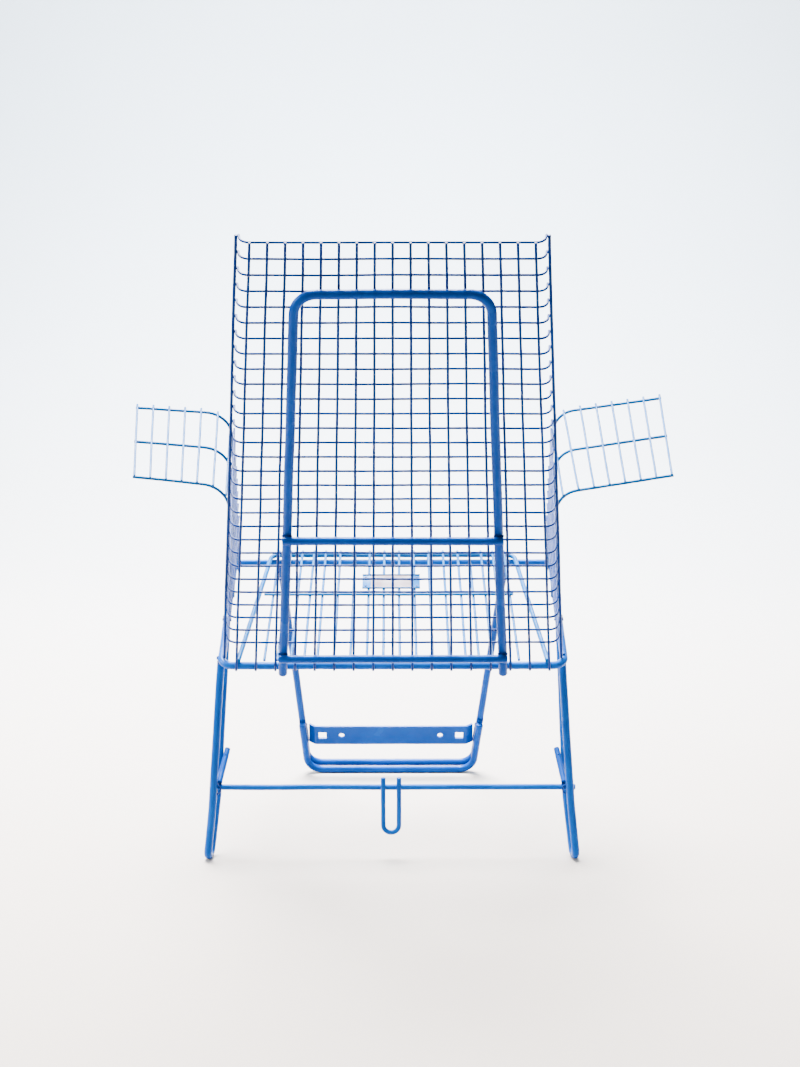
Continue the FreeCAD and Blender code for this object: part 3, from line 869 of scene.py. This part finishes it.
class Armrest:
    """Three side wires bent outwards at the top of a wall, with cross wires on their upper side."""

    def __init__(self, side, count, levels, rises, bend_radius):
        self.side = side
        self.count = count
        self.bend_radius = bend_radius
        self.levels = [between(*levels, line) for line in range(3)]
        self.rises = [between(*rises, line) for line in range(3)]
        self.pitches = [between(arm_cross_pitch_near, arm_cross_pitch_rim, line) for line in range(3)]

    def cross_place(self, line, index):
        """How far along a side wire a cross wire lies, counted up from the rear bar's level."""
        return arm_cross_start + index * self.pitches[line]

    def side_line(self, line):
        """A side wire's axis, up from the rail and out along the armrest, and where it starts."""
        inward = arm_wire_depth + line * arm_wire_pitch
        level, rise = self.levels[line], self.rises[line]
        foot = foot_on_rail(wall_x(0, inward), inward)
        foot_x, corner_x = wall_x(foot, inward), wall_x(level, inward)
        lean = atan((foot_x - corner_x) / (level - foot))
        turn = pi / 2 - rise + lean
        saved_by_bend = self.bend_radius * (2 * tan(turn / 2) - turn)
        up_run = (level - foot) / cos(lean)
        length = self.cross_place(line, self.count - 1) + arm_stub - foot
        reach = length + saved_by_bend - up_run
        corners = [on_back(self.side * foot_x, foot, inward),
                   on_back(self.side * corner_x, level, inward),
                   on_back(self.side * (corner_x + reach * cos(rise)), level + reach * sin(rise), inward)]
        return Centreline(corners, [self.bend_radius]), foot

    def cross_line(self, index):
        points = []
        for line in range(3):
            axis, foot = self.side_line(line)
            point, direction = axis.at(self.cross_place(line, index) - foot)
            inner = direction.cross(back_in).normalized() * self.side
            points.append(point - inner * row_inset)
        near, middle, rim = points
        start = near + (near - middle).normalized() * cross_stub
        end = rim + (rim - middle).normalized() * cross_stub
        return Centreline([start, middle, end], [arm_wire_pitch / 2])


for name, shape in arm_shapes.items():
    arm = Armrest(**shape)
    painted_rods(f"flange_rod_{name}", [flange_line(arm.side)], side_wire_d, shaded_mesh_blue)
    for line, place in enumerate(("near", "mid", "rim")):
        painted_rods(f"arm_wire_{place}_{name}", [arm.side_line(line)[0]], side_wire_d, lit_arm_blue)
    painted_rods(f"armrest_cross_wires_{name}", [arm.cross_line(i) for i in range(arm.count)],
                 mesh_wire_d, lit_arm_blue)

# %% [markdown]
# ## Seat frame and tube hoop
# One rod makes the rear bar and both rails. A straight crossbar joins the rails in front and is the
# gate's hinge pin. The hoop on the back is tube, open at its lower ends, so it is swept without caps
# and Solidify gives it a real wall that shows when the chair is seen from below.

# %% Seat ring and front crossbar
rail_tip = seat_depth + front_crossbar_d / 2 + rail_end
ring_line = hoop(on_seat, (rail_half_width, rail_tip, 0), (rail_half_width, 0, 0), ring_corner_radius)
painted_rods("seat_ring", [ring_line], frame_rod_d, rod_blue)

crossbar_half = rail_half_width - rod_r - weld_gap
crossbar_line = straight(on_seat(crossbar_half, seat_depth, 0), on_seat(-crossbar_half, seat_depth, 0))
painted_rods("front_crossbar", [crossbar_line], front_crossbar_d, rod_blue)

# %% Tube hoop
tube_depth = -(column_wire_d + 2 * weld_gap + back_tube_d / 2)
tube_bar_depth = tube_depth - back_tube_d / 2 - weld_gap - back_tube_bar_d / 2


def tube_x(up):
    share = (up + tube_tail) / (tube_top + tube_tail)
    return tube_half_width_bottom + (tube_half_width_top - tube_half_width_bottom) * share


tube_line = hoop(on_back, (tube_x(-tube_tail), -tube_tail, tube_depth),
                 (tube_x(tube_top), tube_top, tube_depth), tube_corner_radius)
painted_rods("back_tube", [tube_line], back_tube_d, shaded_frame_blue, hollow_wall=back_tube_wall)
for name, up in (("upper", upper_bar_height), ("lower", lower_bar_height)):
    half = tube_x(up) + back_tube_d / 2
    bar_line = straight(on_back(half, up, tube_bar_depth), on_back(-half, up, tube_bar_depth))
    painted_rods(f"tube_bar_{name}", [bar_line], back_tube_bar_d, shaded_frame_blue)

# %% [markdown]
# ## Rear legs, crossbar and loop
# Each rear leg is a hairpin: down outside the frame's corner, round at the foot and up again to the
# side rail. The crossbar between them carries a long hanging loop and two sawn-off stubs.

# %% Rear legs
leg_top_z = seat_rear_height + leg_top_rise
leg_slant = (leg_top_forward + foot_back) / (leg_top_z - rod_r)


def leg_place(half_width, y, z, side):
    """A point on a rear leg. Both legs stand a little to the sitter's left."""
    return Vector((side * half_width + leg_shift, y, z))


def rear_leg_y(z):
    """How far back the outer half of a rear leg is at a height."""
    return rear_bar.y - leg_top_forward + leg_slant * (leg_top_z - z)


def brace_x(z, side):
    """Where the inner half of a rear leg is across the chair, at a height above its knee."""
    knee_x = leg_place(brace_knee_half_width, 0, leg_knee_height, side).x
    top = on_seat(side * rail_half_width, brace_rail_place, 0)
    return knee_x + (top.x - knee_x) * (z - leg_knee_height) / (top.z - leg_knee_height)


def rear_leg_line(side):
    brace = on_seat(side * rail_half_width, brace_rail_place, 0)
    foot_y = rear_leg_y(rod_r)
    brace_y = foot_y - 2 * foot_turn_radius
    share = (leg_knee_height - rod_r) / (brace.z - rod_r)
    knee_y = brace_y + (brace.y - brace_y) * share
    corners = [leg_place(leg_top_half_width, rear_leg_y(leg_top_z), leg_top_z, side),
               leg_place(leg_knee_half_width, rear_leg_y(leg_knee_height), leg_knee_height, side),
               leg_place(foot_half_width, foot_y, rod_r, side),
               leg_place(foot_half_width - foot_twist, brace_y, rod_r, side),
               leg_place(brace_knee_half_width, knee_y, leg_knee_height, side),
               brace]
    foot_bend = foot_turn_radius * foot_bend_share
    return Centreline(corners, [knee_radius, foot_bend, foot_bend, knee_radius])


for name, side in (("left", 1), ("right", -1)):
    painted_rods(f"rear_leg_{name}", [rear_leg_line(side)], frame_rod_d, rod_blue)

# %% Rear crossbar and hanging loop
crossbar_reach = (rod_r + weld_gap + rear_crossbar_d / 2) * sqrt(1 + leg_slant ** 2)
crossbar_y = rear_leg_y(crossbar_height) - crossbar_reach
rear_crossbar_line = straight(Vector((crossbar_half_length, crossbar_y, crossbar_height)),
                              Vector((-crossbar_half_length, crossbar_y, crossbar_height)))
painted_rods("rear_crossbar", [rear_crossbar_line], rear_crossbar_d, rod_blue)

loop_y = crossbar_y + rear_crossbar_d / 2 + weld_gap + loop_wire_d / 2
loop_top = crossbar_height + rear_crossbar_d / 2 + loop_rise
loop_half = loop_width / 2


def on_loop(x, z):
    """A point on the hanging loop, which is upright and a little off the middle."""
    return Vector((loop_offset + x, loop_y, z))


loop_line = hoop(on_loop, (loop_half, loop_top), (loop_half, loop_bottom), loop_half * loop_bend_share)
painted_rods("hanging_loop", [loop_line], loop_wire_d, rod_blue)

# %% [markdown]
# ## Front legs
# The front legs are one hoop of rod, with a shorter hoop welded behind its foot. The flat plate between
# them and the two stubs behind have holes, which the solids already hold, so those solids stay and only
# take on the paint.

# %% Front leg frames


def leg_x(up):
    return leg_half_width_bottom + (leg_half_width_top - leg_half_width_bottom) * up / leg_length


def leg_hoop(bottom, top, front):
    """A hoop of rod with a level foot bar and two legs that spread upwards."""
    return hoop(on_leg, (leg_x(top), top, front), (leg_x(bottom), bottom, front), leg_corner_radius)


painted_rods("front_leg_frame", [leg_hoop(leg_frame_lift, leg_length, leg_frame_offset)],
             frame_rod_d, shaded_frame_blue)
painted_rods("front_foot_frame", [leg_hoop(0, foot_frame_height, 0)], frame_rod_d, shaded_frame_blue)

# %% Plate and stubs
for node in ("front_plate", "cut_stub_left", "cut_stub_right"):
    solid = frame["nodes"][node]
    solid.data.materials.clear()
    solid.data.materials.append(shaded_frame_blue)
    print(f"{node} keeps its solid")


def stub_line(side):
    """The axis of a cut stub, which the welds need."""
    root_z = crossbar_height + stub_d / 2 * cos(stub_rise) + rear_crossbar_d / 2
    root = leg_place(stub_root_half_width, crossbar_y, root_z, side)
    tip_z = root_z + stub_length * sin(stub_rise)
    tip_x = brace_x(tip_z, side) - side * (rod_r + stub_d / 2 + stub_brace_gap)
    return straight(root, Vector((tip_x, crossbar_y - stub_length * cos(stub_rise), tip_z)))


rods += [Rod(f"cut_stub_{name}", stub_line(side), stub_d) for name, side in (("left", 1), ("right", -1))]

# %% [markdown]
# ## Seat gate
# The seat is the basket's end gate: a rim rod with sixteen long wires hooked over its front bar, two
# more that go on round the crossbar as hinges, and one cross wire. The wires fan slightly, in pairs
# about the middle, so one list of places serves both halves.

# %% Shapes of the gate's wires
gate_rod_r = gate_rod_d / 2
gate_wire_r = gate_wire_d / 2
gate_height = rod_r + gate_rod_r + rest_gap
gate_front = seat_depth + gate_front_overhang
wrap_radius = gate_rod_r + gate_wire_r + weld_gap
gate_wire_tilt = atan((gate_height + wrap_radius - gate_wire_rear_height)
                      / (gate_front - gate_wire_rear_end))


def gate_wire_x(pair):
    """How far a pair of gate wires stands from the middle, at their rear ends."""
    inner = min(pair, inner_wire_pairs) - 0.5
    return inner * inner_wire_pitch + max(pair - inner_wire_pairs, 0) * outer_wire_pitch


def gate_wire_height(forward):
    """How high the gate's long wires run above the seat frame's plane."""
    return gate_wire_rear_height + (forward - gate_wire_rear_end) * tan(gate_wire_tilt)


def gate_wire_line(x, hinged):
    """A long wire, hooked over the gate's front bar, and round the front crossbar if it is a hinge."""
    front = gate_front + wrap_radius
    over = gate_height + wrap_radius * (1 / cos(gate_wire_tilt) + tan(gate_wire_tilt))
    corners = [on_seat(x, gate_wire_rear_end, gate_wire_rear_height), on_seat(x * gate_fan, front, over)]
    if not hinged:
        corners.append(on_seat(x * gate_fan, front, gate_height + wrap_radius - wire_hook_drop))
        return Centreline(corners, [wrap_radius])
    turn = front_crossbar_d / 2 + gate_wire_r + hinge_clearance
    corners += [on_seat(x * gate_fan, front, -turn), on_seat(x * gate_fan, seat_depth - turn, -turn),
                on_seat(x * gate_fan, seat_depth - turn, hinge_hook_rise)]
    return Centreline(corners, [wrap_radius, turn, turn])


print(f"The gate's wires slope down to the rear by {gate_wire_tilt:.3f} rad")

# %% Gate rod and wires
rim_line = hoop(on_seat, (gate_half_width_rear, gate_rear_end, gate_height),
                (gate_half_width_front, gate_front, gate_height), gate_corner_radius)
painted_rods("gate_rim_rod", [rim_line], gate_rod_d, lit_seat_blue)

pairs = range(1, inner_wire_pairs + outer_wire_pairs + 1)
places = {pair: [side * gate_wire_x(pair) + gate_wire_shift for side in (1, -1)] for pair in pairs}
hinged = places.pop(hinge_wire_pair)
painted_rods("gate_long_wires", [gate_wire_line(x, False) for both in places.values() for x in both],
             gate_wire_d, lit_seat_blue)
painted_rods("gate_hinge_wires", [gate_wire_line(x, True) for x in hinged], gate_wire_d, lit_seat_blue)
above = gate_wire_height(gate_cross_place) + gate_wire_d / cos(gate_wire_tilt) + weld_gap
cross_wire_line = straight(on_seat(gate_cross_left, gate_cross_place, above),
                           on_seat(-gate_cross_right, gate_cross_place, above))
painted_rods("gate_cross_wire", [cross_wire_line], gate_wire_d, lit_seat_blue)

# %% [markdown]
# ## Label holder
# On the seat sits a shallow sheet tray that once held a price card. The tray is one profile drawn
# across its width and drawn out along its length, with bevelled edges that catch the light. The card
# is bare, a little bowed and stained, and a flat rivet head sits beyond each of its corners.

# %% Label tray
wire_forward = seat_forward * cos(gate_wire_tilt) + seat_up * sin(gate_wire_tilt)
wire_up = seat_up * cos(gate_wire_tilt) - seat_forward * sin(gate_wire_tilt)


def on_label(x, forward, above):
    """A point on the label holder: above the top of the gate wires that carry it."""
    wire = on_seat(label_offset + x, label_place, gate_wire_height(label_place))
    return wire + wire_forward * forward + wire_up * (gate_wire_r + weld_gap + above)


def drawn_out(name, profile, length, material, bevel):
    """A profile in the label's cross direction, drawn out along X, with its edges bevelled."""
    count = len(profile)
    points = [on_label(side * length / 2, *spot) for side in (-1, 1) for spot in profile]
    faces = [tuple(range(count)), tuple(range(2 * count - 1, count - 1, -1))]
    faces += [(k, k + count, (k + 1) % count + count, (k + 1) % count) for k in range(count)]
    mesh = bpy.data.meshes.new(name)
    mesh.from_pydata(points, [], faces)
    mesh.materials.append(material)
    rounded = shaped(name, mesh, "BEVEL", width=bevel, segments=3, limit_method="ANGLE")
    rounded.shade_smooth()
    return rounded


tray_bevel = 0.00018
tray_half = label_width / 2
tray_inner = tray_half - label_sheet
tray_profile = [(-tray_half, 0), (tray_half, 0), (tray_half, label_lip_height),
                (tray_inner, label_lip_height), (tray_inner, label_sheet), (-tray_inner, label_sheet),
                (-tray_inner, label_lip_height), (-tray_half, label_lip_height)]
tray_mesh = drawn_out("label_tray", tray_profile, label_length, lit_seat_blue, tray_bevel)
place_piece("label_tray", tray_mesh, "seat_gate", ["label_plate"])
print(f"The tray has {len(tray_mesh.polygons)} faces")

# %% Card stock
card_gap = weld_gap
card_width = label_width - 2 * (label_sheet + card_gap)
card_length = label_length - 2 * card_margin
card_grey, card_pink = (0.045, 0.040, 0.085, 1.0), (0.050, 0.028, 0.060, 1.0)
card_speck = (0.028, 0.036, 0.085, 1.0)
card_roughness = (0.42, 0.62)
stain_scale = 95.0
stain_from, stain_full = 0.38, 0.66
speck_from, speck_full, speck_strength = 0.60, 0.75, 0.5
fibre_scale = (700.0, 2600.0, 2600.0)
fibre_relief = 0.00003


def make_card_stock():
    """Old card: grey with a pinkish stain, darker specks, and fibres that run along it."""
    material = bpy.data.materials.new("card stock")
    material.use_nodes = True
    tree = material.node_tree
    place = add_node(tree, "ShaderNodeTexCoord").outputs["Object"]
    stain = grain(tree, place, stain_scale, 5.0)
    fibre_place = add_node(tree, "ShaderNodeMapping", {"Vector": place, "Scale": fibre_scale})
    fibre = grain(tree, fibre_place.outputs[0], 1.0, 3.0)
    base = blend_colours(tree, spread(tree, stain, stain_from, stain_full), card_grey, card_pink)
    speck = calculate(tree, "MULTIPLY", spread(tree, fibre, speck_from, speck_full), speck_strength)
    grey = blend_colours(tree, speck, base, card_speck)
    shader = tree.nodes["Principled BSDF"]
    tree.links.new(grey, shader.inputs["Base Color"])
    tree.links.new(spread(tree, stain, 0.3, 0.7, *card_roughness), shader.inputs["Roughness"])
    bump = add_node(tree, "ShaderNodeBump", {"Height": fibre, "Distance": fibre_relief})
    tree.links.new(bump.outputs[0], shader.inputs["Normal"])
    return material


card_stock = make_card_stock()
print(f"The card is {card_length * 1000:.1f} x {card_width * 1000:.1f} mm")

# %% Bare card
card_rows, card_columns = 10, 24
card_bow = 0.00012
card_wave = 0.4
card_level = label_sheet + weld_gap


def card_sheet():
    """The card as a sheet of small faces, a little bowed, before it gets its thickness."""
    points, faces = [], []
    for i in range(card_columns + 1):
        for j in range(card_rows + 1):
            u, v = 2 * i / card_columns - 1, 2 * j / card_rows - 1
            bow = card_bow * (1 - u * u) * (1 + card_wave * sin(5 * u + 2 * v))
            points.append(on_label(u * card_length / 2, v * card_width / 2, card_level + bow))
    for i in range(card_columns):
        for j in range(card_rows):
            k = i * (card_rows + 1) + j
            faces.append((k, k + card_rows + 1, k + card_rows + 2, k + 1))
    mesh = bpy.data.meshes.new("bare_card")
    mesh.from_pydata(points, [], faces)
    mesh.materials.append(card_stock)
    return mesh


card_mesh = shaped("bare_card", card_sheet(), "SOLIDIFY", thickness=card_thickness, offset=1)
place_piece("bare_card", card_mesh, "seat_gate", ["label_card"])
print(f"The card has {len(card_mesh.polygons)} faces")

# %% Rivet heads
rivet_sides = 20
rivet_rings = [(1.0, 0.0), (1.0, 0.5), (0.88, 0.78), (0.62, 0.94), (0.25, 1.0)]


def rivet_heads():
    """Four low domes, each turned from rings of points with a share of the radius and of the height."""
    points, faces = [], []
    for side_x in (1, -1):
        for side_y in (1, -1):
            first = len(points)
            x = side_x * (label_length / 2 - rivet_end_inset)
            y = side_y * (label_width / 2 - rivet_side_inset)
            for wide, high in rivet_rings:
                for k in range(rivet_sides):
                    angle = 2 * pi * k / rivet_sides
                    reach = rivet_d / 2 * wide
                    points.append(on_label(x + reach * cos(angle), y + reach * sin(angle),
                                           card_level + rivet_height * high))
            for ring in range(len(rivet_rings) - 1):
                low, top = first + ring * rivet_sides, first + (ring + 1) * rivet_sides
                for k in range(rivet_sides):
                    after = (k + 1) % rivet_sides
                    faces.append((low + after, low + k, top + k, top + after))
            faces.append(tuple(range(first, first + rivet_sides)))
            faces.append(tuple(range(len(points) - 1, len(points) - 1 - rivet_sides, -1)))
    mesh = bpy.data.meshes.new("rivet_heads")
    mesh.from_pydata(points, [], faces)
    mesh.materials.append(weld_blue)
    mesh.shade_smooth()
    return mesh


place_piece("rivet_heads", rivet_heads(), "seat_gate", ["label_rivets"])
print("Four rivet heads are in place")

# %% [markdown]
# ## Finding the welds
# A weld sits wherever two rods touch, more than seven hundred times on this chair. The places could be
# worked out row by row, but a search finds all of them, also where an arm wire meets a rail: it compares
# the rods' points in pairs, takes the nearest, and refines it as the closest approach of two lines.

# %% Points along the rods
search_step = 0.003
touch_gap = 0.0003
tack_spacing = 0.060
nearly_parallel = 0.05
shortest_span = 1e-5


def search_points(rod):
    """Points and directions along a settled rod, close enough for the search."""
    count = max(2, ceil(rod.line.length / search_step) + 1)
    marks = [rod.line.length * k / (count - 1) for k in range(count)]
    spots = [rod.line.at(mark) for mark in marks]
    return np.array([settle(point) for point, _ in spots]), np.array([direction for _, direction in spots])


def nearest_on_lines(p, u, q, v):
    """The nearest points of two lines, kept within one search step of the given points."""
    gap = p - q
    slant = u.dot(v)
    square = 1 - slant * slant
    if square < nearly_parallel:
        return p, q
    s = (slant * v.dot(gap) - u.dot(gap)) / square
    t = (v.dot(gap) - slant * u.dot(gap)) / square
    s, t = (max(-search_step, min(search_step, value)) for value in (s, t))
    return p + u * s, q + v * t


print(f"{len(rods)} rods are searched in steps of {search_step * 1000:.0f} mm")

# %% Places where rods touch


class Touch:
    """A place where two rods of one body touch."""

    def __init__(self, first, second, p, q, u, v, at_end):
        self.first, self.second = first, second
        self.p, self.q, self.u, self.v = p, q, u, v
        self.at_end = at_end
        span = q - p
        self.normal = span.normalized() if span.length > shortest_span else u.copy()
        self.thin = min(first.radius, second.radius)
        middle = (first.radius + span.length - second.radius) / 2
        self.spot = p + self.normal * middle


def find_touches():
    spots = [search_points(rod) for rod in rods]
    lows = [points.min(0) - rod.radius for rod, (points, _) in zip(rods, spots)]
    highs = [points.max(0) + rod.radius for rod, (points, _) in zip(rods, spots)]
    found = []
    for i, first in enumerate(rods):
        for j in range(i + 1, len(rods)):
            second = rods[j]
            apart = (lows[i] > highs[j] + touch_gap).any() or (lows[j] > highs[i] + touch_gap).any()
            if apart or first.body != second.body:
                continue
            found += touches_of_pair(first, second, spots[i], spots[j])
    return found


def touches_of_pair(first, second, first_spots, second_spots):
    reach = first.radius + second.radius + touch_gap
    spans = np.linalg.norm(first_spots[0][:, None, :] - second_spots[0][None, :, :], axis=2)
    skip = int(tack_spacing / search_step)
    found = []
    while spans.min() < reach + search_step:
        a, b = np.unravel_index(spans.argmin(), spans.shape)
        p, u, q, v = (Vector(part) for part in (first_spots[0][a], first_spots[1][a],
                                                second_spots[0][b], second_spots[1][b]))
        p, q = nearest_on_lines(p, u, q, v)
        if (p - q).length < reach:
            ends = (a in (0, len(spans) - 1), b in (0, spans.shape[1] - 1))
            found.append(Touch(first, second, p, q, u, v, ends))
        spans[max(0, a - skip):a + skip + 1, max(0, b - skip):b + skip + 1] = np.inf
    return found


touches = find_touches()
print(f"{len(touches)} places where rods touch")

# %% [markdown]
# ## Weld beads
# Thin crossed wires are welded by pressing them together with a current, which leaves a small collar
# in the corners of the crossing: one flattened lump does it. Thick rods are joined by hand with a
# rod of filler, which leaves a row of overlapping ripples. Both are the same little ball, stretched and
# turned, so a tree puts copies of it on points. Each ball has only a few dozen faces.

# %% Lumps, ripples and pressed welds
lumps = {"frame": [], "seat_gate": []}
filler_radius = 0.0009
filler_lift = filler_radius * 0.25
seam_overlap = 0.75
wobble_share, wobble_scale = 0.22, 900
collar_width, collar_height = 0.98, 0.52
bead_share, bead_sink = 0.34, 0.6
bead_spacing, bead_place = 0.95, 0.62
beads_each_way = 3
widest_bend = 1.2
crossing_at_least = 0.3
near_axis = 0.5


def lump(body, place, normal, size):
    """One ball: its place, the direction of its short axis, and its three radii."""
    lumps[body].append((place, normal, size))


def ripple(body, points, radius):
    """A seam of overlapping balls along a row of points."""
    for k, point in enumerate(points):
        wobble = 1 + wobble_share * noise.noise(point * wobble_scale + Vector((k, 0, 0)))
        lump(body, point, Vector((0, 0, 1)), Vector((radius * wobble,) * 3))


def pressed_weld(touch):
    """The collar in the corners of two crossed wires."""
    wide = touch.thin * collar_width
    lump(touch.first.body, touch.spot, touch.normal, Vector((wide, wide, touch.thin * collar_height)))


print(f"A hand-laid seam is {filler_radius * 2000:.1f} mm wide")

# %% Welds round the end of a rod


def saddle_points(end, aim, radius, centre, axis, other_radius):
    """Where a rod's surface runs into the side of another rod: a ring with two high and two low sides."""
    side = aim.orthogonal().normalized()
    other = aim.cross(side)
    count = ceil(2 * pi * radius / (filler_radius * 2 * (1 - seam_overlap / 2)))
    flat_aim = aim - axis * aim.dot(axis)
    points = []
    for k in range(count):
        angle = 2 * pi * k / count
        start = end + (side * cos(angle) + other * sin(angle)) * (radius + filler_lift)
        gap = start - centre
        gap -= axis * gap.dot(axis)
        a, b = flat_aim.length_squared, gap.dot(flat_aim)
        c = gap.length_squared - (other_radius + filler_lift) ** 2
        root = max(b * b - a * c, 0.0)
        points.append(start + aim * ((-b - sqrt(root)) / a))
    return points


def end_weld(touch, from_first):
    """A seam round a rod that ends on the side of another."""
    if from_first:
        rod, other, end, aim = touch.first, touch.second, touch.p, touch.u
        centre, axis = touch.q, touch.v
    else:
        rod, other, end, aim = touch.second, touch.first, touch.q, touch.v
        centre, axis = touch.p, touch.u
    if aim.dot(centre - end) < 0 or (centre - end).length < other.radius * near_axis and aim.z < 0:
        aim = -aim
    ripple(touch.first.body, saddle_points(end, aim, rod.radius, centre, axis, other.radius), filler_radius)


print("Ends can be welded")

# %% Welds beside a rod


def side_weld(touch):
    """Ripples in the two corners beside a rod that lies across or along another."""
    pressed_weld(touch)
    size = touch.thin * bead_share
    cross = touch.u - touch.v * touch.u.dot(touch.v)
    if cross.length <= crossing_at_least:
        cross = touch.normal.cross(touch.v)
    cross.normalize()
    for side in (1, -1):
        beside = touch.spot + cross * (side * touch.second.radius * bead_place)
        for k in range(-beads_each_way, beads_each_way + 1):
            along = touch.v * (k * size * bead_spacing)
            bend = min(widest_bend, abs(k) * size * bead_spacing / touch.first.radius)
            sink = touch.first.radius * (1 - cos(bend)) * bead_sink
            ripple(touch.first.body, [beside + along - touch.normal * sink], size)


print("Crossings can be welded")

# %% Weld every touch
end_on = 0.7
end_reach = 0.001
seam_step = filler_radius * 1.2
kinds = {"pressed": 0, "end": 0, "side": 0}
for touch in touches:
    pointing = [abs(direction.dot(touch.normal)) > end_on or (touch.p - touch.q).length < end_reach
                for direction in (touch.u, touch.v)]
    ends = [flag and point for flag, point in zip(touch.at_end, pointing)]
    if any(ends):
        end_weld(touch, ends[0])
        kinds["end"] += 1
    elif touch.thin > thick_rod:
        side_weld(touch)
        kinds["side"] += 1
    else:
        pressed_weld(touch)
        kinds["pressed"] += 1

print(f"Welds of each kind: {kinds}")

# %% Seams at the plate's ends
plate_low, plate_high = plate_centre - plate_height / 2, plate_centre + plate_height / 2
seam_count = ceil(plate_height / seam_step)
seam_ups = [plate_low + (plate_high - plate_low) * k / seam_count for k in range(seam_count + 1)]
seam_front = leg_frame_offset + filler_radius
for side in (1, -1):
    seam = [on_leg(side * (leg_x(up) - rod_r), up, seam_front) for up in seam_ups]
    ripple("frame", seam, filler_radius)
print(f"{sum(len(group) for group in lumps.values())} lumps of weld in all")

# %% Tree for weld beads
bead_grain = 1100.0


def make_bead_tree():
    """A geometry tree that puts a stretched, turned ball on each point and roughens it."""
    tree = bpy.data.node_groups.new("weld beads", "GeometryNodeTree")
    for name, kind in (("Places", "Geometry"), ("Segments", "Int"), ("Rings", "Int"),
                       ("Roughness", "Float"), ("Seed", "Float"), ("Paint", "Material")):
        add_socket(tree, name, kind)
    add_socket(tree, "Beads", "Geometry", "OUTPUT")
    given = add_node(tree, "NodeGroupInput").outputs
    size = add_node(tree, "GeometryNodeInputNamedAttribute", {"Name": "size"}, data_type="FLOAT_VECTOR")
    normal = add_node(tree, "GeometryNodeInputNamedAttribute", {"Name": "short_axis"},
                      data_type="FLOAT_VECTOR")
    ball = add_node(tree, "GeometryNodeMeshUVSphere", {
        "Segments": given["Segments"], "Rings": given["Rings"], "Radius": 1.0})
    turned = add_node(tree, "FunctionNodeAlignRotationToVector", {"Vector": normal.outputs[0]}, axis="Z")
    copies = add_node(tree, "GeometryNodeInstanceOnPoints", {
        "Points": given["Places"], "Instance": ball.outputs[0],
        "Rotation": turned.outputs[0], "Scale": size.outputs[0]})
    real = add_node(tree, "GeometryNodeRealizeInstances", {"Geometry": copies.outputs[0]})
    lumpy = add_node(tree, "ShaderNodeTexNoise", {"W": given["Seed"], "Scale": bead_grain, "Detail": 1.0},
                     noise_dimensions="4D")
    swing = calculate(tree, "SUBTRACT", lumpy.outputs[0], 0.5)
    height = calculate(tree, "MULTIPLY", swing, given["Roughness"])
    shaken = move_outwards(tree, real.outputs[0], height)
    return finish_tree(tree, shaken, given["Paint"])


bead_tree = make_bead_tree()
print(f"The bead tree has {len(bead_tree.nodes)} nodes")

# %% Bead pieces
bead_look = {"Segments": 8, "Rings": 6, "Roughness": 0.00025, "Seed": 3.0, "Paint": weld_blue}
for body, group in lumps.items():
    name = f"weld_beads_{body}"
    places = bpy.data.meshes.new(name)
    places.from_pydata([place for place, _, _ in group], [], [])
    normals = [value for _, normal, _ in group for value in normal]
    sizes = [value for _, _, size in group for value in size]
    places.attributes.new("short_axis", "FLOAT_VECTOR", "POINT").data.foreach_set("vector", normals)
    places.attributes.new("size", "FLOAT_VECTOR", "POINT").data.foreach_set("vector", sizes)
    beads = run_tree(name, places, bead_tree, bead_look)
    place_piece(name, beads, body)
    print(f"{name}: {len(group)} lumps, {len(beads.polygons)} faces")

# %% [markdown]
# ## Floor
# The chair stands on a plain pale floor that sweeps up into a backdrop, as studio paper does. A flat
# floor alone would end in a horizon behind the chair. A faint unevenness in its tone keeps it real.
# Behind the camera its colour turns a little darker, as painted shade, so that it also throws less light
# on the side that faces us.

# %% Pale floor
floor_half_width = 9.0
floor_near, floor_far = 9.0, -2.2
sweep_radius = 1.0
backdrop_height = 4.0
sweep_steps = 24
floor_pale_to, floor_dark_from = 0.6, 2.2
floor_greys = (0.385, 0.373, 0.362, 1.0), (0.415, 0.403, 0.392, 1.0)
floor_dark = (0.300, 0.298, 0.295, 1.0)
floor_roughness = 0.75

sweep_profile = [(floor_near, 0.0), (floor_far + sweep_radius, 0.0)]
for step in range(1, sweep_steps + 1):
    angle = pi / 2 * step / sweep_steps
    sweep_profile.append((floor_far + sweep_radius * (1 - sin(angle)), sweep_radius * (1 - cos(angle))))
sweep_profile.append((floor_far, backdrop_height))
floor_points = [(side * floor_half_width, y, z) for y, z in sweep_profile for side in (1, -1)]
floor_faces = [(2 * k, 2 * k + 2, 2 * k + 3, 2 * k + 1) for k in range(len(sweep_profile) - 1)]
floor_mesh = bpy.data.meshes.new("floor")
floor_mesh.from_pydata(floor_points, [], floor_faces)
floor_mesh.shade_smooth()
print(f"The floor's sweep has {len(floor_faces)} faces")

# %% Floor finish
floor_finish = bpy.data.materials.new("pale floor")
floor_finish.use_nodes = True
floor_tree = floor_finish.node_tree
floor_place = add_node(floor_tree, "ShaderNodeTexCoord").outputs["Object"]
pale = blend_colours(floor_tree, grain(floor_tree, floor_place, 3.0, 4.0), *floor_greys)
towards_camera = add_node(floor_tree, "ShaderNodeSeparateXYZ", {"Vector": floor_place}).outputs["Y"]
# Painted shade: the floor's colour darkens towards the camera, away from the lamps.
far_from_light = spread(floor_tree, towards_camera, floor_pale_to, floor_dark_from)
floor_colour = blend_colours(floor_tree, far_from_light, pale, floor_dark)
floor_shader = floor_tree.nodes["Principled BSDF"]
floor_tree.links.new(floor_colour, floor_shader.inputs["Base Color"])
floor_shader.inputs["Roughness"].default_value = floor_roughness
floor_mesh.materials.append(floor_finish)
floor = bpy.data.objects.new("pale_floor", floor_mesh)
bpy.context.scene.collection.objects.link(floor)
print("The floor is laid")

# %% [markdown]
# The box of the solids is printed. The dressed chair must not be larger than its solids.

# %% Box of the solids
print("Solids", [round(v, 5) for v in (*solid_low, *solid_high)])
